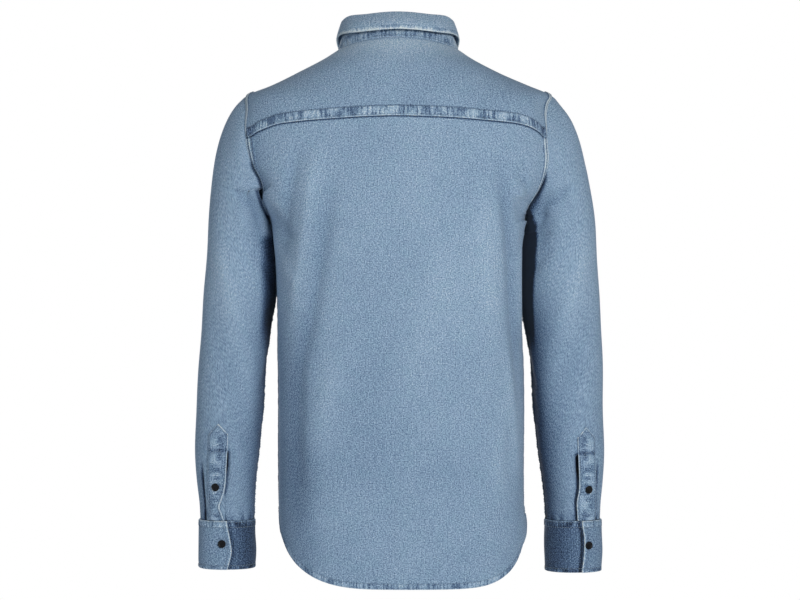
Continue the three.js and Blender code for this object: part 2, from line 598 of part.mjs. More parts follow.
function collarStand() {
  const reach = 180 + STAND.tuck;
  const at = (i, j) => {
    const turn = mix(-reach, reach, i / COLLAR_COLUMNS);
    const t = j / STAND.rows;
    const n = standNormal(turn, t);
    // The left end laps outside the right one.
    const out = (DOUBLE_WALL + LAY_GAP) * smooth((turn - (180 - 4 * STAND.tuck)) / (3 * STAND.tuck));
    return { p: standPoint(turn, t).addScaledVector(n, out), n };
  };
  return wall(COLLAR_COLUMNS, STAND.rows, at, DOUBLE_WALL);
}

// The turned-down leaf: it leaves the top of the stand, rolls over and falls to its edge.
function collarLeaf() {
  const last = LEAF_EDGE[LEAF_EDGE.length - 1].at;
  const rolled = [-20, 35, 90, 140];
  const fall = [0.3, 0.65, 1];
  const rows = rolled.length + fall.length;
  const edge = (turn) => {
    const value = (column) => lookUp(LEAF_EDGE, "at", Math.abs(turn), column);
    return new THREE.Vector3(Math.sign(turn) * value("x"), value("y"), value("z"));
  };
  const up = new THREE.Vector3(0, 0, 1);
  const at = (turn, j) => {
    const foot = standPoint(turn, 1);
    const away = foot.clone().setZ(0);
    away.y *= 1.5;
    away.normalize();
    const pivot = foot.clone().addScaledVector(up, 1.6).addScaledVector(away, 1.4);
    const round = (degrees) => {
      const a = radians(degrees);
      const out = away.clone().multiplyScalar(-Math.cos(a)).addScaledVector(up, Math.sin(a));
      return pivot.clone().addScaledVector(out, LEAF_ROLL);
    };
    if (j < rolled.length) return round(rolled[j]);
    const start = round(rolled[rolled.length - 1]);
    const t = fall[j - rolled.length];
    const belly = 3 * Math.sin(Math.PI * t);
    return start.lerp(edge(turn), t).addScaledVector(away, belly);
  };
  const grid = (i, j) => {
    const turn = mix(-last, last, i / COLLAR_COLUMNS);
    const p = at(turn, j);
    const along = at(turn + 0.5, j).sub(at(turn - 0.5, j));
    const down = at(turn, Math.min(rows - 1, j + 1)).sub(at(turn, Math.max(0, j - 1)));
    return { p, n: down.cross(along).normalize() };
  };
  return wall(COLLAR_COLUMNS, rows - 1, grid, DOUBLE_WALL);
}

// A press stud: a low round cap with a rim and a dished middle, its back on the cloth.
function snap(name, point, normal) {
  const { radius, height, rim, dish } = SNAP;
  const profile = [
    [0, 0],
    [radius - 0.5, 0],
    [radius, 0.6],
    [radius - 0.4, height - 0.3],
    [radius - rim, height],
    [radius - rim - 0.6, height - dish],
    [0, height - dish * 1.2],
  ];
  const geometry = new THREE.LatheGeometry(profile.map(([x, y]) => new THREE.Vector2(x, y)), SNAP.steps);
  const mesh = new THREE.Mesh(geometry, new THREE.MeshStandardMaterial(BLACK));
  mesh.name = name;
  mesh.quaternion.setFromUnitVectors(new THREE.Vector3(0, 1, 0), normal);
  mesh.position.copy(point).addScaledVector(normal, SEAM_GAP);
  mesh.position.x += lookUp(LEAN, "z", mesh.position.z, "x");
  group.add(mesh);
}

const mirrored = (triangles) => triangles.map((p) => p.clone().setX(-p.x));
const mirroredPoint = (p) => p.clone().setX(-p.x);

const group = new THREE.Group();
const denim = (color) => new THREE.MeshStandardMaterial({ color, roughness: 0.92, metalness: 0 });
const WASHED = "#8199b2";
const SEAMED = "#7790aa";
const BLACK = { color: "#16181b", roughness: 0.45, metalness: 0.2 };

function add(name, triangles, material) {
  const points = triangles.map((p) => p.clone());
  let volume = 0;
  for (let k = 0; k < points.length; k += 3) {
    volume += points[k].dot(points[k + 1].clone().cross(points[k + 2]));
  }
  const geometry = new THREE.BufferGeometry();
  const ordered = [];
  for (let k = 0; k < points.length; k += 3) {
    const [a, b, c] = points.slice(k, k + 3);
    ordered.push(a, ...(volume > 0 ? [b, c] : [c, b]));
  }
  for (const p of ordered) p.x += lookUp(LEAN, "z", p.z, "x");
  geometry.setFromPoints(ordered);
  const mesh = new THREE.Mesh(geometry, material);
  mesh.name = name;
  group.add(mesh);
}

add("back_panel", backPanel(), denim(WASHED));
add("yoke", yoke(), denim(WASHED));
add("front_left", front(1), denim(WASHED));
add("front_right", front(-1), denim(WASHED));
add("front_placket", frontPlacket(), denim(SEAMED));
add("collar_stand", collarStand(), denim(SEAMED));
add("collar_leaf", collarLeaf(), denim(SEAMED));
for (const side of ["left", "right"]) {
  const placed = side === "left" ? (triangles) => triangles : mirrored;
  add("sleeve_" + side, placed(sleeve(side)), denim(WASHED));
  add("sleeve_placket_" + side, placed(sleevePlacket(side)), denim(SEAMED));
  add("cuff_" + side, placed(cuff(side)), denim(SEAMED));
}

const onPlacket = DOUBLE_WALL + LAY_GAP;
for (let k = 0; k < FRONT_SNAPS.count; k++) {
  const ring = ringAt(180, FRONT_SNAPS.first - k * FRONT_SNAPS.pitch);
  const n = bodyNormal(180, ring);
  snap("snap_front_" + (k + 1), bodyPoint(180, ring).addScaledVector(n, onPlacket), n);
}
const stand = { p: standPoint(180, 0.5), n: standNormal(180, 0.5) };
snap("snap_collar", stand.p.addScaledVector(stand.n, onPlacket), stand.n);
for (const side of ["left", "right"]) {
  const placed = side === "left" ? (v) => v : mirroredPoint;
  const opening = OPENING_STEP[side] * (360 / ARMHOLE_STEPS);
  const inset = (arm) => ((SNAP_INSET - 3) / arm) * (180 / Math.PI);
  const row = sleeveRowAt(PLACKET_SNAP_Z);
  const turn = opening - inset(40);
  const n = sleeveNormal(turn, row);
  snap("snap_placket_" + side, placed(sleevePoint(turn, row).addScaledVector(n, onPlacket)), placed(n));
  const onCuff = cuffPlace(side, inset(CUFF.half), (CUFF.top - CUFF_SNAP_Z) / (CUFF.top - CUFF.bottom));
  snap("snap_cuff_" + side, placed(onCuff.p), placed(onCuff.n));
}

export default group;
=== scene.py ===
"""A long-sleeved denim shirt, filled out as it is worn, with nobody in it.

Sizes are in millimetres until a mesh is made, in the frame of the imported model: +X is the wearer's
left, +Y is behind and +Z is up. The origin is between the shoulders.
"""

import math
from collections import namedtuple

import bmesh
import bpy
import numpy as np
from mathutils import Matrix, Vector


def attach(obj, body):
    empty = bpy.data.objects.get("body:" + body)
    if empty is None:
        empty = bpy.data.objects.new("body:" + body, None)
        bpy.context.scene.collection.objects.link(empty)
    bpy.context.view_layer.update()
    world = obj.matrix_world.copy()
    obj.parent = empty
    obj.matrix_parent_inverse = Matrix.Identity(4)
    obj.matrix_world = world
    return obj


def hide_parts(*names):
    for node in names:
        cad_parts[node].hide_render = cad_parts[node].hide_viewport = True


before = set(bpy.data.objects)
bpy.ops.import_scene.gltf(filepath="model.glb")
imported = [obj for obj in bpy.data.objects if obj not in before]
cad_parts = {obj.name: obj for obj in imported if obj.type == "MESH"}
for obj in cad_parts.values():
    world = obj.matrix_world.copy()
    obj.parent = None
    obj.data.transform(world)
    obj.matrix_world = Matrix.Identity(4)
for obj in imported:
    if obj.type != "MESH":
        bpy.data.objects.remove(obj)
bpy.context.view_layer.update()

bl_info = {
    "name": "Denim shirt",
    "version": (1, 0, 0),
    "blender": (4, 5, 0),
    "location": "3D View > Sidebar > Shirt",
    "description": "Dresses the packed frame of a denim shirt in cloth, seams, stitches and studs",
    "category": "Object",
}

MM = 0.001


# Tables and simple functions

FINE = 64  # points of a table's smooth curve between two of its rows


def smooth_curve(values):
    """A smooth curve through the values, as closely spaced points."""
    last = len(values) - 1
    row = np.arange(last * FINE + 1) / FINE
    i = np.minimum(row.astype(int), last - 1)
    t = row - i
    a, b, c, d = (values[np.clip(i + k, 0, last)] for k in (-1, 0, 1, 2))
    slope_b = np.where(i == 0, c - b, (c - a) / 2)
    slope_c = np.where(i == last - 1, c - b, (d - b) / 2)
    h = t * t * (3 - 2 * t)
    return b * (1 - h) + c * h + slope_b * t * (1 - t) ** 2 - slope_c * t * t * (1 - t)


def table(names, *rows):
    """Rows of numbers as named columns, each a smooth curve."""
    return {name: smooth_curve(values) for name, values in zip(names.split(), np.array(rows, float).T)}


def linear(hex_colour):
    """An sRGB hex colour as the three linear numbers that Blender uses."""
    parts = [int(hex_colour[k:k + 2], 16) / 255 for k in (1, 3, 5)]
    return tuple(c / 12.92 if c <= 0.04045 else ((c + 0.055) / 1.055) ** 2.4 for c in parts)


def mix(a, b, t):
    return a + (b - a) * t


def smooth(t):
    t = np.clip(t, 0, 1)
    return t * t * (3 - 2 * t)


def smooth_row(rows, row, column):
    """A column's value at a row number that may lie between two rows."""
    curve = rows[column]
    return np.interp(np.asarray(row) * FINE, np.arange(curve.size), curve)


def row_where(rows, key, wanted):
    """The row number at which a rising or falling column has a value."""
    curve = rows[key]
    places = np.arange(curve.size) / FINE
    if curve[-1] < curve[0]:
        curve, places = curve[::-1], places[::-1]
    return np.interp(wanted, curve, places)


def look_up(rows, key, wanted, column):
    return smooth_row(rows, row_where(rows, key, wanted), column)


def read_off(rows, key, wanted, column):
    """A column's value where a rising column has the value wanted."""
    return np.interp(wanted, rows[key], rows[column])


def sampled(function, low, high, count=1440):
    """The same function of one number, worked out once at closely spaced places."""
    places = np.linspace(low, high, count + 1)
    results = function(places)
    if isinstance(results, tuple):
        return lambda wanted: tuple(np.interp(wanted, places, values) for values in results)
    return lambda wanted: np.interp(wanted, places, results)


def unit(v):
    return v / np.maximum(np.linalg.norm(v, axis=-1, keepdims=True), 1e-12)


def ripple(s, pitch, seed):
    """An uneven wave along a length, about -1 to 1, as cloth puckers along its stitches."""
    chance = np.random.default_rng(seed)
    waves = [(pitch * chance.uniform(0.6, 2.2), chance.uniform(0, math.tau)) for _ in range(7)]
    return sum(np.sin(math.tau * s / length + start) for length, start in waves) / 2.6


def drift(x, z, size, seed):
    """A slow uneven rise and fall over an area, about -1 to 1."""
    chance = np.random.default_rng(seed)
    total = 0
    for _ in range(9):
        way, length = chance.uniform(0, math.pi), size * chance.uniform(0.6, 1.9)
        across = x * math.cos(way) + z * math.sin(way)
        total = total + np.sin(math.tau * across / length + chance.uniform(0, math.tau))
    return total / 3


# The torso's form: the same rings, seams and large folds as the solids

# Each ring's heights at its sides, behind and before, its half width, its depth behind and before, and
# how square its two halves are
BODY = table(
    "side back front half deep chest curl_back curl_front",
    (-760, -760, -760, 161.5, 110, 107, 2.9, 2.3),
    (-690, -690, -690, 163.5, 111, 108, 2.9, 2.3),
    (-622, -622, -622, 165.5, 112, 109, 2.9, 2.3),
    (-550, -550, -550, 165.6, 112, 110, 2.9, 2.3),
    (-480, -480, -480, 165.4, 112, 111, 2.9, 2.3),
    (-410, -410, -410, 165.2, 113, 113, 2.9, 2.25),
    (-350, -350, -350, 165.8, 115, 117, 2.9, 2.2),
    (-300, -300, -300, 167, 118, 121, 2.9, 2.2),
    (-258, -258, -260, 169.5, 120, 124, 2.9, 2.2),
    (-222, -226, -230, 177, 121, 125, 2.85, 2.3),
    (-185, -196, -206, 198, 121, 124, 2.75, 2.4),
    (-148, -165, -181, 212, 120, 121, 2.7, 2.4),
    (-108, -134, -157, 216, 117.5, 116, 2.6, 2.4),
    (-76, -105, -137, 212, 113.5, 109, 2.45, 2.3),
    (-60, -79, -120, 204, 108.5, 101, 2.35, 2.25),
    (-48, -52, -104, 174, 101, 91.5, 2.25, 2.2),
    (-32.5, -25, -91, 140, 90, 80, 2.15, 2.1),
    (-16, -5, -80, 106, 77, 68, 2.05, 2.05),
    (0, 12, -72, 81, 64, 58, 2, 2),
)
NECK = (len(BODY["side"]) - 1) // FINE
HALVINGS = 30  # steps of a search by halves
ARMPIT_Z = -222
SHOULDER_TIP_Z = -60
ARMHOLE_BACK = 67  # how far behind and before the arm's middle the armhole reaches
ARMHOLE_FRONT = 63
STEP = 15  # degrees between the corners that the seams end on, round the armhole
YOKE_BACK_ANGLE = 5 * STEP
YOKE_FRONT_ANGLE = 22 * STEP
YOKE = {"centre": -94.3, "fall": 10, "fall_at": 165, "power": 1.6}
YOKE_CORNER = {"drop": 12, "start": 150, "end": 196}
NECK_SHOULDER = 118  # the turn at which the shoulder seams meet the neck
LEAST_NECK_STEP = 4
HEM = {"side": -622, "back": -714, "front": -700}
HEM_CURVE = {"left": (3.5, 2), "right": (6, 2.6)}  # power and root of the shirt tail's curve
PLACKET_HALF = 17
FRONT_MEET = 10
CLOTH = 1.2  # one layer, with its nap
DOUBLE = 2.2  # collar, cuffs and plackets
LAY = 0.4
SEAM_GAP = 0.3
CREASE_SHADE_AND_RUB = 0.055  # painted shade in a fold's trough and rubbed light on its ridge, for each millimetre that it lies in or stands out
# Painted shadow in the pleats, for each millimetre that a pleat lies in
PLEAT_SHADE = 0.5

Fold = namedtuple("Fold", "face top low x_top x_mid x_low width depth")
BODY_FOLDS = [
    Fold("back", -120, -320, 130, 150, 161, 9, -3.8),
    Fold("back", -130, -400, 110, 130, 150, 8, 2.8),
    Fold("back", -150, -490, 86, 111, 144, 11, -4.8),
    Fold("back", -400, -650, 128, 136, 140, 18, -3.4),
    Fold("back", -115, -500, -127, -145, -158, 8, -5.2),
    Fold("back", -215, -400, -158, -159, -162, 6, 2.4),
    Fold("back", -370, -600, -138, -148, -158, 7, 3),
    Fold("back", -150, -460, -106, -118, -128, 16, 3.4),
    Fold("back", -260, -600, -58, -70, -90, 34, 1.8),
    Fold("back", -280, -640, 30, 22, 46, 36, -1.8),
    Fold("front", -140, -330, 118, 128, 120, 19, -5),
    Fold("front", -200, -540, 88, 106, 116, 20, 3.4),
    Fold("front", -380, -640, 70, 62, 74, 24, -2.6),
    Fold("front", -130, -420, -116, -130, -134, 19, -4.6),
    Fold("front", -210, -560, -80, -94, -106, 20, 3.2),
    Fold("front", -400, -650, -60, -72, -66, 24, -2.4),
]
# Smaller creases of the cloth, from one end to the other, with how far the middle bows aside
Crease = namedtuple("Crease", "face x1 z1 x2 z2 bow width depth")
BODY_CREASES = [
    Crease("back", 176, -212, 132, -262, 6, 7, -3.0),
    Crease("back", 180, -196, 146, -214, 3, 6, 1.8),
    Crease("back", 170, -236, 128, -330, 8, 8, 2.2),
    Crease("back", -150, -168, -176, -204, -3, 5, -2.4),
    Crease("back", -142, -176, -168, -216, -3, 6, 1.8),
    Crease("back", -172, -214, -140, -290, -6, 8, -2.4),
    Crease("back", -120, -196, -138, -330, -5, 9, 2.2),
    Crease("back", 96, -128, 124, -210, 5, 10, 1.7),
    Crease("back", 60, -380, 118, -560, 12, 16, 2.0),
    Crease("back", -34, -330, -110, -600, -14, 18, -1.8),
    Crease("back", 141, -380, 139, -660, 2, 15, -2.4),
    Crease("back", 118, -360, 122, -600, 3, 9, 1.8),
    Crease("back", -146, -430, -128, -620, 6, 10, 2.2),
    Crease("back", 4, -420, 34, -690, 9, 20, 1.5),
    Crease("front", 168, -206, 112, -268, -6, 7, -2.0),
    Crease("front", 172, -226, 120, -340, -8, 9, 1.6),
    Crease("front", -168, -204, -116, -272, 6, 7, -2.0),
    Crease("front", -170, -228, -122, -338, 7, 9, 1.5),
    Crease("front", 92, -120, 120, -200, 4, 10, 1.2),
    Crease("front", -88, -118, -118, -210, -4, 10, 1.2),
    Crease("front", 40, -300, 84, -520, 10, 14, -1.3),
    Crease("front", -42, -280, -92, -500, -9, 15, 1.2),
    Crease("front", 30, -430, 56, -650, 8, 13, 1.2),
    Crease("front", -34, -460, -64, -660, -8, 13, -1.3),
]


def fold_weight(across, along):
    """1 on a fold's line, fading across it and towards its two ends."""
    ends = smooth(along / 0.3) * smooth((1 - along) / 0.35)
    return np.where((along <= 0) | (along >= 1), 0, np.exp(-across * across) * ends)


def crease_weight(x, z, crease):
    span = np.array([crease.x2 - crease.x1, crease.z2 - crease.z1])
    length = math.hypot(*span)
    along = ((x - crease.x1) * span[0] + (z - crease.z1) * span[1]) / length ** 2
    aside = ((x - crease.x1) * span[1] - (z - crease.z1) * span[0]) / length
    bow = -crease.bow * 4 * along * (1 - along)
    return fold_weight((aside - bow) / crease.width, along)


def squared_ellipse(angle, square):
    s, c = np.sin(angle), np.cos(angle)
    q = (np.abs(s) ** square + np.abs(c) ** square) ** (1 / square)
    return c / q, s / q


def body_half(back, ring, behind, before):
    """A column of the rings' back or of their front, whichever the place is on."""
    return np.where(back, smooth_row(BODY, ring, behind), smooth_row(BODY, ring, before))


def body_z(turn, ring):
    c = np.cos(np.radians(turn))
    return mix(smooth_row(BODY, ring, "side"), body_half(c >= 0, ring, "back", "front"), c * c)


def body_base(turn, ring):
    """The torso's outer surface: turn is 0 behind, 90 at the wearer's left and 180 in front."""
    angle = np.radians(turn)
    back = np.cos(angle) >= 0
    c, s = squared_ellipse(angle, body_half(back, ring, "curl_back", "curl_front"))
    x, y = s * smooth_row(BODY, ring, "half"), c * body_half(back, ring, "deep", "chest")
    return np.stack(np.broadcast_arrays(x, y, body_z(turn, ring)), axis=-1)


def body_fold(point):
    x, y, z = np.moveaxis(point, -1, 0)
    depth = np.zeros(x.shape)
    for fold in BODY_FOLDS:
        along = (fold.top - z) / (fold.top - fold.low)
        bend = 4 * (fold.x_mid - (fold.x_top + fold.x_low) / 2) * along * (1 - along)
        middle = mix(fold.x_top, fold.x_low, along) + bend
        own = y > 0 if fold.face == "back" else y <= 0
        depth += own * fold.depth * fold_weight((x - middle) / fold.width, along)
    for crease in BODY_CREASES:
        own = y > 0 if crease.face == "back" else y <= 0
        depth += own * crease.depth * crease_weight(x, z, crease)
    return depth * smooth(np.abs(y) / 45)


def normal_of(surface, a, b, step_a, step_b):
    across = surface(a + step_a, b) - surface(a - step_a, b)
    along = surface(a, b + step_b) - surface(a, b - step_b)
    return unit(np.cross(across, along))


# The right side seam is drawn in below the arm, and its foot flips out at the hem. The left one is
# drawn in towards the hem.
RIGHT_SIDE = table("z out", (-760, 0), (-675, 0), (-655, 4.4), (-640, 5), (-624, 2.6), (-606, 0),
                   (-440, 0), (-400, -1.5), (-340, -4.6), (-300, -5.6), (-262, -5.6), (-240, -4.4),
                   (-222, -1.8), (-205, 0), (0, 0), (80, 0))
LEFT_SIDE = table("z out", (-760, -3), (-690, -7), (-660, -7.5), (-640, -4), (-600, -2.2), (-540, -2),
                  (-480, -1.4), (-420, -0.6), (-380, 0), (0, 0), (80, 0))
SIDE_REACH = 30  # degrees round the body over which a side's change fades


def body_point(turn, ring):
    point = body_base(turn, ring)
    normal = normal_of(body_base, turn, ring, -0.5, 0.05)
    sag = 0.5 * drift(point[..., 0] + point[..., 1], point[..., 2], 120, 11)
    for middle, side in ((90, LEFT_SIDE), (-90, RIGHT_SIDE)):
        aside = (np.asarray(turn, float) - middle) / SIDE_REACH
        sag = sag + np.exp(-aside * aside) * look_up(side, "z", point[..., 2], "out")
    return point + normal * (body_fold(point) + sag)[..., None]


def body_normal(turn, ring):
    return normal_of(body_point, turn, ring, -0.5, 0.05)


def ring_at(turn, z):
    turn, z = np.broadcast_arrays(np.asarray(turn, float), np.asarray(z, float))
    low, high = np.zeros(turn.shape), np.full(turn.shape, float(NECK))
    for _ in range(HALVINGS):
        middle = (low + high) / 2
        below = body_z(turn, middle) < z
        low, high = np.where(below, middle, low), np.where(below, high, middle)
    return (low + high) / 2


def armhole_at(angle):
    """Turn and ring of the armhole's seam: 0 at the shoulder tip, 90 behind and 180 at the armpit."""
    angle = np.radians(np.asarray(angle, float))
    y = np.sin(angle) * np.where(np.sin(angle) > 0, ARMHOLE_BACK, ARMHOLE_FRONT)
    y = np.where(np.abs(np.sin(angle)) < 1e-9, 0, y)
    z = mix(SHOULDER_TIP_Z, ARMPIT_Z, (1 - np.cos(angle)) / 2)
    low, high = np.zeros(y.shape), np.full(y.shape, float(NECK))
    for _ in range(HALVINGS):
        ring = (low + high) / 2
        square = body_half(y >= 0, ring, "curl_back", "curl_front")
        depth = body_half(y >= 0, ring, "deep", "chest")
        share = np.minimum(0.99, np.abs(y) / depth)
        across = (1 - share ** square) ** (1 / square)
        turn = 90 - np.sign(y) * np.degrees(np.arctan2(share, across))
        below = body_z(turn, ring) < z
        low, high = np.where(below, ring, low), np.where(below, high, ring)
    return turn, (low + high) / 2


armhole = sampled(armhole_at, 0, 360)


def yoke_seam_z(x):
    away = np.abs(x)
    corner = np.maximum(0, (away - YOKE_CORNER["start"]) / (YOKE_CORNER["end"] - YOKE_CORNER["start"]))
    fall = YOKE["fall"] * (away / YOKE["fall_at"]) ** YOKE["power"]
    return YOKE["centre"] - fall - YOKE_CORNER["drop"] * corner ** 2


def yoke_seam_at(share):
    """Turn and ring of the back yoke's seam: share runs from -1 at the right to 1 at the left."""
    corner_turn, corner_ring = armhole(YOKE_BACK_ANGLE)
    turn = corner_turn * np.asarray(share, float)
    ring = np.full(turn.shape, float(corner_ring))
    for _ in range(8):
        ring = ring_at(turn, yoke_seam_z(body_base(turn, ring)[..., 0]))
    return turn, mix(ring, corner_ring, smooth((np.abs(share) - 0.9) / 0.1))


yoke_seam = sampled(yoke_seam_at, -1, 1)


def hem_ring_at(turn):
    x = body_base(turn, ring_at(turn, HEM["side"]))[..., 0]
    share = np.minimum(1, np.abs(x) / body_base(90, ring_at(90, HEM["side"]))[..., 0])
    power, root = (np.where(x > 0, a, b) for a, b in zip(HEM_CURVE["left"], HEM_CURVE["right"]))
    low = np.where(np.abs(turn) < 90, HEM["back"], HEM["front"])
    return ring_at(turn, HEM["side"] + (low - HEM["side"]) * (1 - share ** power) ** (1 / root))


hem_ring = sampled(hem_ring_at, -180, 180)
armpit_ring = sampled(lambda turn: ring_at(turn, ARMPIT_Z - 6 * np.cos(np.radians(turn)) ** 2), -180, 180)


LEAN = table("z x", (-760, -1.4), (-220, -1.4), (-70, 0), (0, 1.8), (60, 2.7))

# How far each armhole's seam swings outwards behind, at each height
SWING = {
    1: table("z x", (-760, 0), (-225, 0), (-205, -3), (-190, -7), (-175, -6), (-160, 0), (-145, 3.5),
             (-131, 5.5), (-117, 5), (-104, 4), (-84, 0), (-64, -2), (-40, -2), (0, 0), (80, 0)),
    -1: table("z x", (-760, 0), (-275, 0), (-245, -3), (-226, -8), (-212, -12), (-200, -10), (-186, -6),
              (-172, -3), (-150, -1.5), (-131, -4), (-111, -6), (-97, -8), (-86, -9), (-72, -8), (-58, -3),
              (0, 0), (80, 0)),
}
SWING_AT = table("z x", (-760, 166), (-245, 172), (-222, 177), (-185, 192), (-148, 202), (-60, 200),
                 (80, 200))
SWING_REACH = 32


def leant(points):
    """The points with the swing of the armholes and the lean of the whole shirt to one side."""
    x, y, z = np.moveaxis(points, -1, 0)
    aside = np.abs(np.abs(x) - look_up(SWING_AT, "z", z, "x"))
    near = smooth(1 - aside / SWING_REACH) * smooth((y + 10) / 40)
    moved = points.copy()
    for side, swing in SWING.items():
        moved[..., 0] += side * (x * side > 0) * near * look_up(swing, "z", z, "x")
    moved[..., 0] += look_up(LEAN, "z", z, "x")
    return moved


# Cloth pieces from grids of points

# The grid's lines near an edge, by their distance from it
EDGE_STOPS = (0, 0.3, 0.8, 1.4, 2.1, 2.8, 3.6, 4.5, 5.4, 6.2, 7, 7.9, 8.9, 10, 11.2, 12.2, 13, 14)


def stops(length, step, fine_start=True, fine_end=True):
    """Shares of a length, closer together near the ends that have a seam or a hem."""
    near = [d for d in EDGE_STOPS if d < length / 2.2]
    start, end = (near[-1] if fine_start else 0), (near[-1] if fine_end else 0)
    count = max(1, round((length - start - end) / step))
    inside = list(np.linspace(start, length - end, count + 1))
    first = near[:-1] if fine_start else []
    last = [length - d for d in reversed(near[:-1])] if fine_end else []
    return np.array(first + inside + last) / length


Line = namedtuple("Line", "at width wear rise")  # a mark along an edge, and its distance from it
Edge = namedtuple("Edge", "lift band over rope lines", defaults=(0, 0, 0, 0, ()))
# lift: how much thicker the sewn band is. band: its width. over: how far it laps over its neighbour.
# rope: how strongly it puckers between its stitches. lines: its rubbed and sunk marks, and the painted
# shadow below a lap, where 1 is rubbed white and -1 is as dark as the full dye.


class Piece:
    """A grid of cloth: base points, outward normals, and its lengths along rows and columns."""

    def __init__(self, points, normals, thick=CLOTH, seed=1):
        self.p, self.n, self.thick, self.seed = points, normals, thick, seed
        self.out = np.zeros(points.shape[:2])
        self.inner = np.full(points.shape[:2], -float(thick))
        self.wear = np.zeros(points.shape[:2])
        self.rope = [np.zeros(points.shape[:2]), np.zeros(points.shape[:2])]
        self.away = {}
        self.along = {}
        for axis, (first, last) in enumerate((("low", "high"), ("left", "right"))):
            steps = np.linalg.norm(np.diff(points, axis=axis), axis=-1)
            run = np.concatenate([np.zeros_like(steps.take([0], axis)), np.cumsum(steps, axis)], axis)
            self.away[first] = run
            self.away[last] = run.take([-1], axis) - run
            self.along[axis] = run
        centre = self.along[1] - self.along[1].take([self.along[1].shape[1] // 2], 1)
        self.uv = np.stack([centre, self.along[0]], axis=-1)

    def edge(self, side, edge, weight=1.0):
        """Finishes one edge of the grid as a lapped seam, a hem or a turned edge."""
        axis = 0 if side in ("low", "high") else 1
        d = self.away[side]
        toward = unit(np.gradient(self.p, axis=axis)) * (1 if side in ("high", "right") else -1)
        shift = weight * edge.over * (1 - smooth(d / 6))
        self.p = self.p + toward * shift[..., None]
        band = weight * (1 - smooth((d - edge.band + 0.6) / 1.6))
        roped = edge.rope * smooth(d / 1.6) * band
        self.out = self.out + edge.lift * band
        self.out = self.out + 0.35 * roped * ripple(self.along[1 - axis] + 0.3 * d, 13, self.seed + len(side))
        self.rope[axis] = np.maximum(self.rope[axis], roped)
        if edge.over:
            self.inner = mix(self.inner, 0.15, weight * (1 - smooth((d - 1.2) / 1.5)))
        for line in edge.lines:
            near = weight * np.exp(-((d - line.at) / line.width) ** 2)
            self.wear = self.wear + line.wear * near
            self.out = self.out + line.rise * near
        return self

    def rounded(self, *sides, radius=1.0):
        """Brings the outer and inner faces together at the edges, as folded cloth."""
        for side in sides:
            d = np.clip(self.away[side] / radius, 0, 1)
            full = np.sqrt(np.clip(1 - (1 - d) ** 2, 0.02, 1))
            middle = (self.out + self.inner) / 2
            half = (self.out - self.inner) / 2 * full
            self.out, self.inner = middle + half, middle - half
        return self

    def face(self, lift=0.0):
        """The outer face as it hangs, or a surface just above it."""
        return leant(self.p + self.n * (self.out + lift)[..., None])

    def line(self, side, wanted, start=0.0, end=1.0):
        """A row of stitches at a distance from an edge, from one share of its length to another."""
        axis = 0 if side in ("low", "high") else 1
        surface = self.face(STITCH_LIFT)
        d = self.away[side]
        if axis == 1:
            surface, d = surface.swapaxes(0, 1), d.T
        if side in ("high", "right"):
            surface, d = surface[::-1], d[::-1]
        count = d.shape[1]
        first, last = round(start * (count - 1)), round(end * (count - 1))
        picked = range(first, last + 1)
        wanted = np.broadcast_to(wanted, (count,))
        return np.array([[np.interp(wanted[i], d[:, i], surface[:, i, k]) for k in range(3)] for i in picked])

    def mesh(self, name, materials, joined=None):
        """The closed wall as an object. joined says which rows run on from the last column to the first."""
        rows, columns = self.out.shape
        outside = self.face()
        inside = leant(self.p + self.n * self.inner[..., None])
        places = np.concatenate([outside.reshape(-1, 3), inside.reshape(-1, 3)]) * MM
        index = np.arange(rows * columns).reshape(rows, columns)
        a, b, c, d = index[:-1, :-1], index[:-1, 1:], index[1:, 1:], index[1:, :-1]
        quads = np.stack([a, b, c, d], axis=-1).reshape(-1, 4)
        across, up = outside[:-1, 1:] - outside[:-1, :-1], outside[1:, :-1] - outside[:-1, :-1]
        if (np.cross(across, up) * self.n[:-1, :-1]).sum() < 0:
            quads = quads[:, ::-1]
        inner_quads = quads[:, ::-1] + rows * columns
        rims = [(index[0], None), (index[-1], None)]
        open_rows = np.ones(rows, bool) if joined is None else ~joined
        rims += [(index[:, 0], open_rows), (index[:, -1], open_rows)]
        forward = {tuple(pair) for k in range(4) for pair in quads[:, [k, (k + 1) % 4]].tolist()}
        rim_quads = []
        for line, is_open in rims:
            for k in range(len(line) - 1):
                if is_open is not None and not (is_open[k] or is_open[k + 1]):
                    continue
                i, j = int(line[k]), int(line[k + 1])
                if (i, j) in forward:
                    i, j = j, i
                rim_quads.append((i, j, j + rows * columns, i + rows * columns))
        faces = quads.tolist() + rim_quads + inner_quads.tolist()
        mesh = bpy.data.meshes.new(name)
        mesh.from_pydata(places.tolist(), [], faces)
        mesh.polygons.foreach_set("use_smooth", np.ones(len(faces), bool))
        turned = np.zeros(len(faces), int)
        turned[len(quads) + len(rim_quads):] = 1
        mesh.polygons.foreach_set("material_index", turned)
        marks = {"wear": self.wear, "rope_rows": self.rope[0], "rope_columns": self.rope[1]}
        for mark, values in marks.items():
            data = mesh.attributes.new(mark, "FLOAT", "POINT").data
            data.foreach_set("value", np.tile(values.ravel(), 2).astype(np.float32))
        corners = np.empty(len(mesh.loops), int)
        mesh.loops.foreach_get("vertex_index", corners)
        flat = np.tile(self.uv.reshape(-1, 2) * MM, (2, 1))
        mesh.uv_layers.new(name="cloth").data.foreach_set("uv", flat[corners].ravel())
        for material in materials:
            mesh.materials.append(material)
        if joined is not None:
            welded = bmesh.new()
            welded.from_mesh(mesh)
            bmesh.ops.remove_doubles(welded, verts=welded.verts, dist=1e-6)
            welded.to_mesh(mesh)
            welded.free()
        obj = bpy.data.objects.new(name, mesh)
        bpy.context.scene.collection.objects.link(obj)
        return obj


def torso_piece(where, us, vs, out=0.0, thick=CLOTH, seed=1):
    u, v = np.meshgrid(us, vs)
    turn, ring = where(u, v)
    normals = body_normal(turn, ring)
    return Piece(body_point(turn, ring) + normals * out, normals, thick, seed)


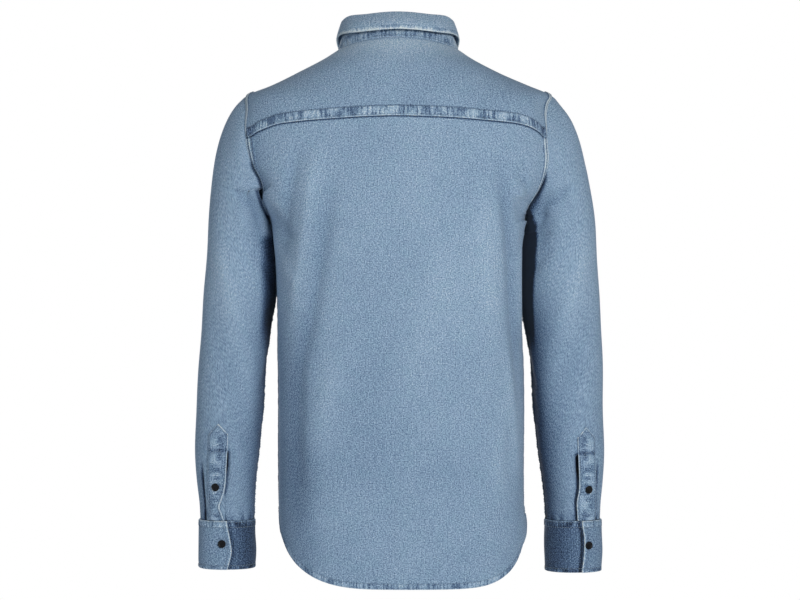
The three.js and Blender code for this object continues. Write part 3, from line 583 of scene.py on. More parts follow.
def mirrored(piece):
    """The piece for the wearer's right, from one made for the left."""
    for grid in (piece.p, piece.n):
        grid[..., 0] *= -1
    return piece


# Stitches

STITCH_LIFT = 0.12  # how far the thread's middle stands off the cloth


def add_node(tree, kind, settings=None, inputs=None):
    """Adds a node, sets its properties, and sets or links its inputs."""
    node = tree.nodes.new(kind)
    for name, value in (settings or {}).items():
        setattr(node, name, value)
    for name, value in (inputs or {}).items():
        if isinstance(value, bpy.types.NodeSocket):
            tree.links.new(value, node.inputs[name])
        else:
            node.inputs[name].default_value = value
    return node


def stitch_tree():
    """Lays one short thread after another along each path."""
    if "Stitches" in bpy.data.node_groups:
        return bpy.data.node_groups["Stitches"]
    tree = bpy.data.node_groups.new("Stitches", "GeometryNodeTree")
    face = tree.interface
    face.new_socket("Paths", in_out="INPUT", socket_type="NodeSocketGeometry")
    for name in ("Pitch", "Length", "Thread"):
        face.new_socket(name, in_out="INPUT", socket_type="NodeSocketFloat")
    face.new_socket("Seed", in_out="INPUT", socket_type="NodeSocketInt")
    face.new_socket("Material", in_out="INPUT", socket_type="NodeSocketMaterial")
    face.new_socket("Stitches", in_out="OUTPUT", socket_type="NodeSocketGeometry")
    given = add_node(tree, "NodeGroupInput").outputs
    paths = add_node(tree, "GeometryNodeMeshToCurve", inputs={"Mesh": given["Paths"]})
    spaced = add_node(tree, "GeometryNodeResampleCurve", {"mode": "LENGTH"},
                      {"Curve": paths.outputs["Curve"], "Length": given["Pitch"]})
    thread = add_node(tree, "GeometryNodeMeshUVSphere", inputs={"Segments": 6, "Rings": 4, "Radius": 0.5})
    tangent = add_node(tree, "GeometryNodeInputTangent")
    aligned = add_node(tree, "FunctionNodeAlignRotationToVector", {"axis": "X"},
                       {"Vector": tangent.outputs["Tangent"]})
    uneven = add_node(tree, "FunctionNodeRandomValue", {"data_type": "FLOAT"}, {"Seed": given["Seed"]})
    low, high = (s for s in uneven.inputs if s.type == "VALUE" and s.enabled and s.name in ("Min", "Max"))
    low.default_value, high.default_value = 0.86, 1.1
    length = add_node(tree, "ShaderNodeMath", {"operation": "MULTIPLY"}, {0: given["Length"]})
    value = next(s for s in uneven.outputs if s.type == "VALUE" and s.enabled)
    tree.links.new(value, length.inputs[1])
    size = add_node(tree, "ShaderNodeCombineXYZ", inputs={
        "X": length.outputs[0], "Y": given["Thread"], "Z": given["Thread"]})
    placed = add_node(tree, "GeometryNodeInstanceOnPoints", inputs={
        "Points": spaced.outputs["Curve"], "Instance": thread.outputs["Mesh"],
        "Rotation": aligned.outputs["Rotation"], "Scale": size.outputs["Vector"]})
    real = add_node(tree, "GeometryNodeRealizeInstances", inputs={"Geometry": placed.outputs["Instances"]})
    softened = add_node(tree, "GeometryNodeSetShadeSmooth", inputs={"Geometry": real.outputs["Geometry"]})
    painted = add_node(tree, "GeometryNodeSetMaterial", inputs={
        "Geometry": softened.outputs["Geometry"], "Material": given["Material"]})
    add_node(tree, "NodeGroupOutput", inputs={"Stitches": painted.outputs["Geometry"]})
    return tree


def made_plain(obj, tree, values):
    """Runs a Geometry Nodes tree on an object once, and leaves its result as a plain mesh."""
    modifier = obj.modifiers.new("build", "NODES")
    modifier.node_group = tree
    sockets = {item.name: item.identifier for item in tree.interface.items_tree if item.in_out == "INPUT"}
    for name, value in values.items():
        modifier[sockets[name]] = value
    bpy.context.view_layer.update()
    result = bpy.data.meshes.new_from_object(obj.evaluated_get(bpy.context.evaluated_depsgraph_get()))
    obj.modifiers.remove(modifier)
    draft, obj.data = obj.data, result
    bpy.data.meshes.remove(draft)
    result.name = obj.name
    return obj


def stitches(name, lines, sizes, seed=1):
    """Rows of stitches along lines of points, as one object."""
    places, edges = [], []
    for line in lines:
        first = len(places)
        places += (np.asarray(line) * MM).tolist()
        edges += [(first + k, first + k + 1) for k in range(len(line) - 1)]
    mesh = bpy.data.meshes.new(name)
    mesh.from_pydata(places, edges, [])
    obj = bpy.data.objects.new(name, mesh)
    bpy.context.scene.collection.objects.link(obj)
    made_plain(obj, stitch_tree(), {
        "Pitch": sizes.stitch_pitch, "Length": sizes.stitch_length, "Thread": sizes.thread,
        "Seed": seed, "Material": thread_material()})
    return finish_piece(obj)


def finish_piece(obj, *nodes, slot="denim"):
    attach(obj, "root")
    if nodes:
        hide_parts(*nodes)
    return obj


# Materials

UNFADED_AND_SHADOW = -0.4  # the darkest value: the cloth's full dye, and the deepest painted shade


def empty_material(name):
    """A new material with no nodes yet."""
    material = bpy.data.materials.new(name)
    material.use_nodes = True
    material.node_tree.nodes.clear()
    return material


def mixed(tree, factor, a, b, blend="MIX"):
    """The socket of a colour made from two others."""
    node = add_node(tree, "ShaderNodeMix", {"data_type": "RGBA", "blend_type": blend}, {
        "Factor": factor, "A": a, "B": b})
    return next(s for s in node.outputs if s.type == "RGBA")


def denim_material(name, washed, reverse=False, mottle=1.0):
    """Stone-washed cotton twill, dyed with indigo: pale where rubbed, dark in its puckers, with painted light
    and shade.
    """
    if name in bpy.data.materials:
        return bpy.data.materials[name]
    colours = bpy.context.scene.shirt_colours
    material = empty_material(name)
    tree = material.node_tree
    flat = add_node(tree, "ShaderNodeUVMap", {"uv_map": "cloth"})
    # The cloth's map is in metres, so these scales are the size of each mark in millimetres.
    def marks(across, along, detail=2.0, rough=0.5):
        scaled = add_node(tree, "ShaderNodeMapping", inputs={
            "Vector": flat.outputs["UV"], "Scale": (1000 / across, 1000 / along, 1)})
        noise = add_node(tree, "ShaderNodeTexNoise", {"noise_dimensions": "2D"}, {
            "Vector": scaled.outputs["Vector"], "Scale": 1.0, "Detail": detail, "Roughness": rough})
        return noise.outputs["Fac"]

    def added(a, b, weight):
        moved = add_node(tree, "ShaderNodeMath", {"operation": "SUBTRACT"}, {0: b, 1: 0.5})
        total = add_node(tree, "ShaderNodeMath", {"operation": "MULTIPLY_ADD"}, {
            0: moved.outputs[0], 1: weight, 2: a})
        return total.outputs[0]

    grain = marks(1.7, 1.6, 2.0, 0.6)  # the uneven dye of a few threads, which shows from a step away
    slub = marks(1.5, 18.0, 1.5)  # thick and thin yarns, up and down the cloth
    cloud = marks(85.0, 120.0, 2.0)  # the wash
    twill = add_node(tree, "ShaderNodeTexWave", {"bands_direction": "DIAGONAL"}, {
        "Vector": add_node(tree, "ShaderNodeMapping", inputs={
            "Vector": flat.outputs["UV"], "Scale": (1000, 1000, 1)}).outputs["Vector"],
        "Scale": 0.42, "Distortion": 1.2, "Detail": 1.0, "Detail Scale": 1.5})  # ribs 1.1 mm apart
    shade = added(washed, grain, 1.6 * mottle)
    shade = added(shade, slub, 0.26 * mottle)
    shade = added(shade, cloud, 0.16)
    shade = added(shade, twill.outputs["Fac"], 0.05)
    # Between its rows of stitches a seam draws up into puckers a few millimetres wide, which lie
    # across it. Their ridges are rubbed and their valleys keep the dye.
    puckers = None
    for mark, across, along in (("rope_rows", 3.4, 30.0), ("rope_columns", 15.0, 5.6)):
        strength = add_node(tree, "ShaderNodeAttribute", {"attribute_name": mark})
        ridges = add_node(tree, "ShaderNodeMapRange", {"interpolation_type": "SMOOTHSTEP"}, {
            "Value": added(marks(across, along, 2.0, 0.7), marks(21.0, 21.0, 1.0), 0.8),
            "From Min": 0.26, "From Max": 0.72, "To Min": -0.9, "To Max": 0.6})
        puckers = add_node(tree, "ShaderNodeMath", {"operation": "MULTIPLY_ADD"}, {
            0: ridges.outputs[0], 1: strength.outputs["Fac"], 2: puckers.outputs[0] if puckers else 0.0})
    # The pieces' marks: rubbed and dark wear, with painted light and shade.
    worn_and_shaded = add_node(tree, "ShaderNodeAttribute", {"attribute_name": "wear"})
    worn_and_shaded = add_node(tree, "ShaderNodeMath", {"operation": "ADD"}, {
        0: worn_and_shaded.outputs["Fac"], 1: puckers.outputs[0]})
    worn_and_shaded = add_node(tree, "ShaderNodeMath", {"operation": "MULTIPLY_ADD"}, {
        0: worn_and_shaded.outputs[0], 1: 0.42, 2: shade})
    worn_and_shaded = add_node(tree, "ShaderNodeMapRange", inputs={
        "Value": worn_and_shaded.outputs[0], "From Min": UNFADED_AND_SHADOW, "From Max": 1.0})
    ramp = add_node(tree, "ShaderNodeValToRGB", inputs={"Fac": worn_and_shaded.outputs[0]})
    elements = ramp.color_ramp.elements
    shades = [(UNFADED_AND_SHADOW, colours.unfaded_and_shadow), (0.0, colours.indigo), (0.3, colours.faded),
              (0.5, colours.washed), (0.74, colours.pale), (1.0, colours.rubbed)]
    while len(elements) < len(shades):
        elements.new(0.5)
    for stop, (at, colour) in zip(elements, shades):
        stop.position = (at - UNFADED_AND_SHADOW) / (1 - UNFADED_AND_SHADOW)
        stop.color = (*colour, 1)
    # Stone-washing leaves the cloth greener in some places than in others.
    stain = add_node(tree, "ShaderNodeMapRange", inputs={
        "Value": marks(24.0, 20.0, 2.0), "From Min": 0.4, "From Max": 0.75, "To Min": 0.0, "To Max": 0.2})
    colour = mixed(tree, stain.outputs[0], ramp.outputs["Color"], (0.84, 1.0, 0.93, 1), "MULTIPLY")
    if reverse:
        colour = mixed(tree, 0.62, colour, (*colours.reverse, 1))
    height = added(0.5, twill.outputs["Fac"], 0.5)
    height = added(height, grain, 0.7)
    height = add_node(tree, "ShaderNodeMath", {"operation": "MULTIPLY_ADD"}, {
        0: puckers.outputs[0], 1: 1.4, 2: height}).outputs[0]
    bump = add_node(tree, "ShaderNodeBump", inputs={"Strength": 0.55, "Distance": 0.0004, "Height": height})
    shader = add_node(tree, "ShaderNodeBsdfPrincipled", inputs={
        "Base Color": colour, "Roughness": 0.92, "Sheen Weight": 0.12, "Sheen Roughness": 0.45,
        "Sheen Tint": (0.75, 0.86, 1.0, 1.0), "Specular IOR Level": 0.2, "Normal": bump.outputs["Normal"]})
    add_node(tree, "ShaderNodeOutputMaterial", inputs={"Surface": shader.outputs["BSDF"]})
    return material


def denim_pair(double=False):
    """The face and the reverse of a piece of denim."""
    if double:
        face = denim_material("denim_twill_double", 0.46, mottle=1.1)
        return [face, face]
    return [denim_material("denim_twill", 0.5), denim_material("denim_twill_reverse", 0.6, reverse=True)]


def thread_material():
    """Polyester sewing thread, spun: matt, close to the cloth's own blue."""
    if "polyester_thread" in bpy.data.materials:
        return bpy.data.materials["polyester_thread"]
    colours = bpy.context.scene.shirt_colours
    material = empty_material("polyester_thread")
    tree = material.node_tree
    where = add_node(tree, "ShaderNodeTexCoord")
    twist = add_node(tree, "ShaderNodeTexNoise", inputs={
        "Vector": where.outputs["Object"], "Scale": 900.0, "Detail": 1.0})  # strands about 1 mm apart
    dark = (*(0.72 * c for c in colours.thread), 1)
    colour = mixed(tree, twist.outputs["Fac"], dark, (*colours.thread, 1))
    shader = add_node(tree, "ShaderNodeBsdfPrincipled", inputs={
        "Base Color": colour, "Roughness": 0.7, "Sheen Weight": 0.1})
    add_node(tree, "ShaderNodeOutputMaterial", inputs={"Surface": shader.outputs["BSDF"]})
    return material


def stud_material():
    """Brass caps with baked black enamel: dark, half gloss, with a faint brown in the dish."""
    if "black_enamel_on_brass" in bpy.data.materials:
        return bpy.data.materials["black_enamel_on_brass"]
    colours = bpy.context.scene.shirt_colours
    material = empty_material("black_enamel_on_brass")
    tree = material.node_tree
    where = add_node(tree, "ShaderNodeTexCoord")
    fleck = add_node(tree, "ShaderNodeTexNoise", inputs={
        "Vector": where.outputs["Object"], "Scale": 1500.0, "Detail": 2.0})  # dust and scuffs under 1 mm
    scuffed = (*(1.9 * c for c in colours.stud), 1)
    colour = mixed(tree, fleck.outputs["Fac"], (*colours.stud, 1), scuffed)
    rough = add_node(tree, "ShaderNodeMath", {"operation": "MULTIPLY_ADD"}, {
        0: fleck.outputs["Fac"], 1: 0.2, 2: 0.32})
    shader = add_node(tree, "ShaderNodeBsdfPrincipled", inputs={
        "Base Color": colour, "Roughness": rough.outputs[0], "Specular IOR Level": 0.2,
        "Coat Weight": 0.05, "Coat Roughness": 0.25})
    add_node(tree, "ShaderNodeOutputMaterial", inputs={"Surface": shader.outputs["BSDF"]})
    return material


# Torso pieces

# Rough lengths of the panels, which set how many lines their grids have
SIDE_LENGTH = 470
BACK_WIDTH = 400
BACK_ARM_LENGTH = 125
FRONT_WIDTH = 185
FRONT_ARM_LENGTH = 150
SHOULDER_LENGTH = 95
PLACKET_LENGTH = 640

YOKE_LAP = Edge(1.5, 12, 1.2, 1.0, (
    Line(0.3, 0.8, 0.7, 0.1), Line(1.9, 0.7, -0.3, -0.2), Line(12.6, 0.9, -0.85, -0.4)))
ARMHOLE_LAP = Edge(1.3, 9.5, 1.0, 0.25, (
    Line(0, 6.5, 0, 0.5), Line(0.4, 1.4, 1.9, 0.1), Line(2.7, 1.0, -1.4, -0.4),
    Line(5.2, 1.2, 1.5, 0.25), Line(8.4, 0.9, -1.1, -0.3)))
YOKE_ARMHOLE_LAP = Edge(1.3, 9.5, 1.0, 0.25, (
    Line(0, 6.5, 0, 0.5), Line(0.5, 2.2, 2.3, 0.1), Line(2.9, 1.2, -1.6, -0.4),
    Line(5.4, 1.9, 2.0, 0.25), Line(8.6, 1.2, -1.4, -0.3)))
YOKE_STITCH = (1.9, 12.6)
ARMHOLE_STITCH = (2.7, 8.4)
SIDE_LAP = Edge(1.0, 7, 1.0, 0.5, (
    Line(0.3, 0.8, 0.6, 0.1), Line(1.9, 0.7, -0.4, -0.2), Line(6.9, 0.7, -0.45, -0.25)))
SIDE_STITCH = (1.9, 6.9)
HEM_EDGE = Edge(0.8, 7.5, 0, 0.8, (
    Line(0.4, 1.0, 0.45, 0), Line(1.9, 0.8, -0.4, 0), Line(7.4, 0.8, -0.35, -0.2)))
# Painted shadow on the cloth just below where another piece laps over it, over a shallow sink.
UNDER = Edge(lines=(Line(1.7, 1.3, -1.7, -0.5),))
HEM_STITCH = 7.4
PLACKET_STITCH = 6.5
# Painted shade on the back along the armholes' seams, below the height at which the sleeves' fullness hangs
# over them
OVERHUNG = {
    "left": {"below": -160, "depth": 1.1, "wide": 4},
    "right": {"below": -146, "depth": 2.2, "wide": 6},
}


def back_where(u, v):
    """u runs from the right side seam to the left; v is 1 at the armpits and 2 at the yoke."""
    share = 2 * u - 1
    turn = 90 * share
    low = mix(hem_ring(turn), armpit_ring(turn), np.minimum(v, 1))
    up = np.clip(v - 1, 0, 1)
    edge_turn, edge_ring = armhole(mix(180, YOKE_BACK_ANGLE, up))

    def even(at):
        return mix(armpit_ring(edge_turn * at), yoke_seam(at)[1], up)

    high = even(share) + (edge_ring - even(np.ones_like(share))) * np.abs(share) ** 3
    return np.where(v <= 1, turn, edge_turn * share), np.where(v <= 1, low, high)


def rows_past(piece, row):
    """0 before a row of the grid and 1 past it, as a column."""
    return smooth((np.arange(piece.out.shape[0]) - row + 2) / 4)[:, None]


def make_back(sizes):
    lower = stops(SIDE_LENGTH, 3.4, True, False)
    upper = 1 + stops(BACK_ARM_LENGTH, 3.2, False, True)[1:]
    piece = torso_piece(back_where, stops(BACK_WIDTH, 3.3), np.concatenate([lower, upper]), seed=3)
    above = rows_past(piece, len(lower))
    piece.edge("low", HEM_EDGE).edge("high", UNDER)
    for side in ("left", "right"):
        piece.edge(side, SIDE_LAP, 1 - above).edge(side, ARMHOLE_LAP, above)
    piece.rounded("low", "left", "right", radius=1.1)
    x, z = piece.p[..., 0], piece.p[..., 2]
    # Painted shade along each armhole seam, below where the sleeve hangs over it.
    for side, hung in OVERHUNG.items():
        in_shadow = smooth((hung["below"] - z) / 15) * above
        piece.wear -= hung["depth"] * in_shadow * np.exp(-(piece.away[side] / hung["wide"]) ** 2)
    # Painted shade along the left side seam and the folds beside it; the cloth is also darker towards the
    # hem.
    piece.wear -= 0.13 * smooth((-350 - z) / 250) + 0.5 * np.exp(-(piece.away["right"] / 27) ** 2)
    piece.wear -= 0.3 * smooth((x - 92) / 40) * smooth((-330 - z) / 90)
    # Painted shade in the folds' troughs, with rubbed light on their ridges.
    piece.wear += CREASE_SHADE_AND_RUB * body_fold(piece.p)
    obj = piece.mesh("back_panel_cloth", denim_pair())
    split = len(lower) / piece.out.shape[0]
    rows = [piece.line("low", HEM_STITCH, 0.02, 0.98)]
    for side in ("left", "right"):
        rows += [piece.line(side, d, 0.015, split) for d in SIDE_STITCH]
        rows += [piece.line(side, d, split, 1) for d in ARMHOLE_STITCH]
    sewn = stitches("back_panel_stitches", rows, sizes, 5)
    finish_piece(obj, "back_panel")


def make_yoke(sizes):
    shoulder, across = 7, 24  # corners of the seams from the forward shoulder to the back, and behind
    columns = 2 * shoulder + across
    ends = [stops(FRONT_ARM_LENGTH, 3.0, True, False) * shoulder,
            shoulder + stops(BACK_WIDTH, 3.2)[1:] * across,
            columns - shoulder + stops(FRONT_ARM_LENGTH, 3.0, False, True)[1:] * shoulder]
    at = np.concatenate(ends)
    half = np.minimum(at, columns - at)
    side = np.where(at > columns / 2, -1, 1)
    hole_turn, hole_ring = armhole((YOKE_FRONT_ANGLE + STEP * np.minimum(half, shoulder)) % 360)
    seam_turn, seam_ring = yoke_seam(1 - 2 * np.clip(half - shoulder, 0, across / 2) / across)
    turn = side * np.where(half <= shoulder, hole_turn, seam_turn)
    ring = np.where(half <= shoulder, hole_ring, seam_ring)
    moves = LEAST_NECK_STEP * np.diff(at) + np.abs(np.diff(turn))
    passed = np.concatenate([[0], np.cumsum(moves)])
    inner_turn = mix(NECK_SHOULDER, -NECK_SHOULDER, passed / passed[-1])
    vs = stops(SHOULDER_LENGTH, 2.8)

    def where(_, v):
        return mix(inner_turn[None, :], turn[None, :], v), mix(float(NECK), ring[None, :], v)

    piece = torso_piece(where, at, vs, seed=7)
    behind = ((half > shoulder)[None, :]).astype(float)
    piece.edge("high", YOKE_ARMHOLE_LAP, 1 - behind).edge("high", YOKE_LAP, behind)
    piece.edge("left", SIDE_LAP).edge("right", SIDE_LAP).edge("low", Edge(lines=(Line(0, 3, -0.6, 0),)))
    # The seam's two ends are dark. Painted light brightens the cloth round the neck, and the rest is a little
    # darker.
    step = BACK_WIDTH / across
    corner = np.exp(-(((half - shoulder) * step - 9) / 12) ** 2) * behind
    piece.wear -= 1.1 * corner * (1 - smooth((piece.away["high"] - 10) / 5))
    piece.wear += 0.62 * np.exp(-(piece.away["low"] / 32) ** 2) - 0.1
    piece.rounded("high", "left", "right", radius=1.1)
    obj = piece.mesh("yoke_cloth", denim_pair())
    first, last = (np.argmax(at >= shoulder) / len(at), np.argmax(at >= columns - shoulder) / len(at))
    rows = [piece.line("high", d, first, last) for d in YOKE_STITCH]
    rows += [piece.line("high", d, a, b) for d in ARMHOLE_STITCH for a, b in ((0, first), (last, 1))]
    rows += [piece.line(side, d, 0.03, 0.97) for side in ("left", "right") for d in SIDE_STITCH]
    sewn = stitches("yoke_stitches", rows, sizes, 6)
    finish_piece(obj, "yoke")


def make_front(side, sizes):
    name = "left" if side > 0 else "right"
    armhole_rows, yoke_rows = 10, 6
    meet = side * FRONT_MEET

    def ease(t):
        return 0.5 * smooth(t) + 0.5 * t

    def where(t, v):
        up = np.where(v <= 2, armhole_rows * (v - 1), armhole_rows + yoke_rows * (v - 2))
        up = np.clip(up / (armhole_rows + yoke_rows), 0, 1)
        hole_turn, hole_ring = armhole(mix(180, YOKE_FRONT_ANGLE, np.clip(v - 1, 0, 1)))
        towards = np.clip(v - 2, 0, 1)
        hole_turn = mix(hole_turn, NECK_SHOULDER, towards)
        hole_ring = mix(hole_ring, float(NECK), towards)
        lowest = hem_ring(side * 179.9)
        armpit = armpit_ring(180.0)
        middle = np.where(v <= 1, mix(lowest, armpit, np.minimum(v, 1)), mix(armpit, float(NECK), up))
        centre = 180 - np.degrees(np.arctan2(meet, smooth_row(BODY, middle, "half")))
        turn = mix(np.where(v <= 1, 90.0, hole_turn), centre, t)
        low = mix(hem_ring(turn * side), armpit_ring(turn), np.minimum(v, 1))
        high = mix(hole_ring, middle, ease(t))
        start = armpit_ring(turn) - mix(ring_at(90.0, ARMPIT_Z), armpit, ease(t))
        high = high + start * (1 - smooth(up / 0.35))
        return side * turn, np.where(v <= 1, low, high)

    lower = stops(SIDE_LENGTH, 3.6, True, False)
    arm = 1 + stops(FRONT_ARM_LENGTH, 3.2, False, False)[1:]
    neck = 2 + stops(SHOULDER_LENGTH, 2.8, False, True)[1:]
    rows = np.concatenate([lower, arm, neck])
    piece = torso_piece(where, stops(FRONT_WIDTH, 3.3), rows, seed=13 + side)
    above = rows_past(piece, len(lower))
    shoulder = rows_past(piece, len(lower) + len(arm))
    piece.edge("low", HEM_EDGE).edge("left", UNDER, 1 - above + shoulder)
    piece.edge("left", ARMHOLE_LAP, above * (1 - shoulder))
    piece.rounded("low", "right", radius=1.1)
    piece.rounded("left", radius=0.9)
    obj = piece.mesh("front_" + name + "_cloth", denim_pair())
    total = piece.out.shape[0]
    first, last = len(lower) / total, (len(lower) + len(arm)) / total
    lines = [piece.line("low", HEM_STITCH, 0.03, 1)]
    lines += [piece.line("left", d, first, last) for d in ARMHOLE_STITCH]
    sewn = stitches("front_" + name + "_stitches", lines, sizes, 9)
    finish_piece(obj, "front_" + name)


def make_front_placket(sizes):
    chest = float(ring_at(180.0, -260.0))
    lowest = float(hem_ring(179.9))

    def where(u, v):
        x = mix(PLACKET_HALF, -PLACKET_HALF, u)
        ring = np.where(v < 0.5, mix(lowest, chest, v * 2), mix(chest, NECK - 0.12, v * 2 - 1))
        return 180 - np.degrees(np.arctan2(x, smooth_row(BODY, ring, "half"))), ring

    across, down = stops(2 * PLACKET_HALF, 2.0), stops(PLACKET_LENGTH, 3.2)
    piece = torso_piece(where, across, down, out=DOUBLE + LAY, thick=DOUBLE, seed=19)
    turned = Edge(0.25, 6, 0, 0.6, (Line(0.3, 1.0, 0.8, 0), Line(PLACKET_STITCH, 0.8, -0.45, -0.25)))
    piece.edge("left", turned).edge("right", turned).edge("low", turned)
    piece.rounded("left", "right", "low", "high", radius=1.2)
    obj = piece.mesh("front_placket_cloth", denim_pair(double=True))
    rows = [piece.line(side, PLACKET_STITCH, 0.01, 0.99) for side in ("left", "right")]
    rows.append(piece.line("low", PLACKET_STITCH, 0.1, 0.9))
    sewn = stitches("front_placket_stitches", rows, sizes, 10)
    finish_piece(obj, "front_placket", slot="denim_double")


# Sleeves, cuffs and their openings

SLEEVE = table(
    "z x y half deep turn square",
    (-262, 216.0, -16, 46.6, 60, -12, 2.1),
    (-300, 216.9, -17, 47.8, 60, -12, 2.1),
    (-345, 218.6, -15, 48.8, 59, -8, 2.1),
    (-395, 222.6, -11, 48.4, 57, -2, 2.1),
    (-445, 226.4, -9, 46.8, 54, 0, 2.1),
    (-495, 229.8, -9, 44.9, 51, 0, 2.1),
    (-540, 232.0, -11, 43.4, 48, 0, 2.1),
    (-580, 233.2, -13, 40.1, 44.5, 0, 2.1),
    (-610, 233.2, -14, 37.2, 40.5, 0, 2.1),
    (-632, 233.2, -14.5, 36.4, 37.5, 0, 2.1),
)
SLEEVE_TOP = -262  # the first level ring, below the sleeve's head
SLEEVE_END = -632
SLEEVE_WIDTH = 330
HEAD_LENGTH = 165
ARM_HALF = 40
SLEEVE_HEAD = {"top": 185, "under": 44, "end": 105, "outwards": 0.86, "down": 0.5}
SLIT = {"top": -533, "low": -606, "tuck": 12, "gape": 7.2}
CUFF = {"top": -632.6, "bottom": -696, "x": 233.4, "y": -14.5, "half": 38.6, "deep": 38.8}
CUFF_WIDTH = 272
CUFF_HEIGHT = 64
CUFF_FALL = {"left": 2, "right": 6}  # the lower edges, from the solids'
CUFF_TUCK = 36  # degrees that the cuff's under end runs on below its lapped end
OPENING = {"left": 90, "right": 80}  # the angle round the arm at which the sleeve opens
CUFF_OPENING = {"left": 90, "right": 75}
STRIP = {"top": -501, "foot": -631.2, "width": 25, "point": 14, "over": 2, "length": 145}
STRIP_FALL = {"left": 0, "right": 4.6}  # the right strip is sewn on a little lower
BAR_TACK = {"rows": (-534, -538), "dent": -536}  # it closes the slit's top
STRIP_STITCH = 2.6
CUFF_STITCH = {"top": (2.1, 8.8), "edge": 5.4}
UNDERARM = {"half": 3.4, "lift": 0.9, "rub": 0.35, "stitch": 3}
STUD_INSET = 11
STRIP_STUD_Z = {"left": -586, "right": -589.4}
CUFF_STUD_Z = {"left": -663, "right": -665.4}

# How far the strip's free edge waves aside at each height, and the cuff's lapped end from its top down
STRIP_WAVE = {
    "left": table("z x", (-640, -1), (-622, -6.5), (-612, -9), (-592, -2), (-572, 0.6), (-532, 2),
                  (-480, 1)),
    "right": table("z x", (-640, 0.5), (-622, 1.6), (-606, 2.4), (-586, -0.4), (-550, 0), (-532, 0),
                   (-480, 0)),
}
CUFF_WAVE = {
    "left": table("t x", (0, 2.6), (0.1, 3), (0.35, 6.4), (0.65, 8.6), (1, 3)),
    "right": table("t x", (0, 0), (0.1, 0), (0.35, -2.6), (0.65, -2.0), (1, 0.6)),
}
# How dark each cuff is made: all over, partly its darker dye and partly painted shade; painted shade on the
# side towards the body; painted shadow beside its lap
CUFF_DYE_AND_SHADE = {
    "left": {"all": 0.26, "body": 1.3, "lap": 0.7},
    "right": {"all": 0.42, "body": 0.9, "lap": 2.0},
}

SleeveFold = namedtuple("SleeveFold", "top low start end width depth")
SLEEVE_FOLDS = [
    SleeveFold(-175, -300, 128, 150, 16, -3.5),
    SleeveFold(-250, -400, 66, 112, 17, 2.6),
    SleeveFold(-330, -470, 50, 96, 18, -2.2),
    SleeveFold(-380, -540, 120, 140, 20, 2.2),
    SleeveFold(-200, -340, 232, 212, 16, -3.2),
    SleeveFold(-330, -480, 300, 252, 20, 2.6),
    SleeveFold(-400, -530, 270, 228, 18, -2.4),
    SleeveFold(-556, -640, 28, 24, 9, -2.4),
    SleeveFold(-566, -640, 352, 350, 9, -2),
]
SLEEVE_CREASES = [
    SleeveFold(-186, -262, 100, 168, 9, -2.0),
    SleeveFold(-206, -300, 84, 160, 8, 1.5),
    SleeveFold(-184, -216, 70, 134, 13, -3.4),
    SleeveFold(-172, -200, 108, 158, 11, -2.6),
    SleeveFold(-236, -330, 108, 176, 9, -1.7),
    SleeveFold(-210, -300, 262, 196, 9, -1.8),
    SleeveFold(-250, -350, 268, 200, 10, 1.5),
    SleeveFold(-390, -470, 196, 150, 12, -1.6),
    SleeveFold(-430, -520, 206, 164, 11, 1.5),
    SleeveFold(-420, -500, 330, 286, 12, 1.3),
    SleeveFold(-480, -560, 250, 214, 10, -1.3),
    SleeveFold(-552, -650, 43, 42, 5, 1.6),
    SleeveFold(-590, -640, 318, 320, 7, 1.2),
    SleeveFold(-586, -640, 226, 228, 8, -1.2),
]
# Pleats that stand in shadow: the sleeve's fullness where it goes into the cuff
PLEATS = [
    SleeveFold(-548, -672, 42, 39, 4.2, -6.5),
    SleeveFold(-556, -660, 351, 350, 3.6, -3.5),
]


def fold_of(turn, z, fold):
    along = (fold.top - z) / (fold.top - fold.low)
    away = (turn - mix(fold.start, fold.end, along) + 540) % 360 - 180
    return fold.depth * fold_weight(away / fold.width, along)


def sleeve_ring(turn, row):
    c, s = squared_ellipse(np.radians(turn), smooth_row(SLEEVE, row, "square"))
    lean = np.radians(smooth_row(SLEEVE, row, "turn"))
    x, y = c * smooth_row(SLEEVE, row, "half"), s * smooth_row(SLEEVE, row, "deep")
    return np.stack(np.broadcast_arrays(
        smooth_row(SLEEVE, row, "x") + x * np.cos(lean) - y * np.sin(lean),
        smooth_row(SLEEVE, row, "y") + x * np.sin(lean) + y * np.cos(lean),
        smooth_row(SLEEVE, row, "z"),
    ), axis=-1)


def sleeve_base(turn, row):
    """The sleeve's surface before its folds: row 0 at the armhole, 1 at the first level ring."""
    turn, row = np.broadcast_arrays(np.asarray(turn, float), np.asarray(row, float))
    level = sleeve_ring(turn, np.maximum(row - 1, 0))
    start = body_base(*armhole(turn % 360))
    angle = np.radians(turn)
    over = ((1 + np.cos(angle)) / 2)[..., None]
    top_leave = np.array([SLEEVE_HEAD["outwards"], 0, -SLEEVE_HEAD["down"]])
    leave = mix(np.array([0.02, 0, -1.0]), top_leave, over ** 0.8)
    leave[..., 1] += 0.1 * np.sin(angle) * np.abs(np.sin(angle))
    leave = unit(leave) * mix(SLEEVE_HEAD["under"], SLEEVE_HEAD["top"], over ** 1.2)
    end = sleeve_ring(turn, np.zeros_like(row))
    arrive = unit(sleeve_ring(turn, np.full_like(row, 0.2)) - end)
    arrive = arrive * mix(SLEEVE_HEAD["under"], SLEEVE_HEAD["end"], over)
    t = np.clip(row, 0, 1)[..., None]
    head = (start * (2 * t ** 3 - 3 * t ** 2 + 1) + leave * (t ** 3 - 2 * t ** 2 + t)
            + end * (3 * t ** 2 - 2 * t ** 3) + arrive * (t ** 3 - t ** 2))
    return np.where((row >= 1)[..., None], level, head)


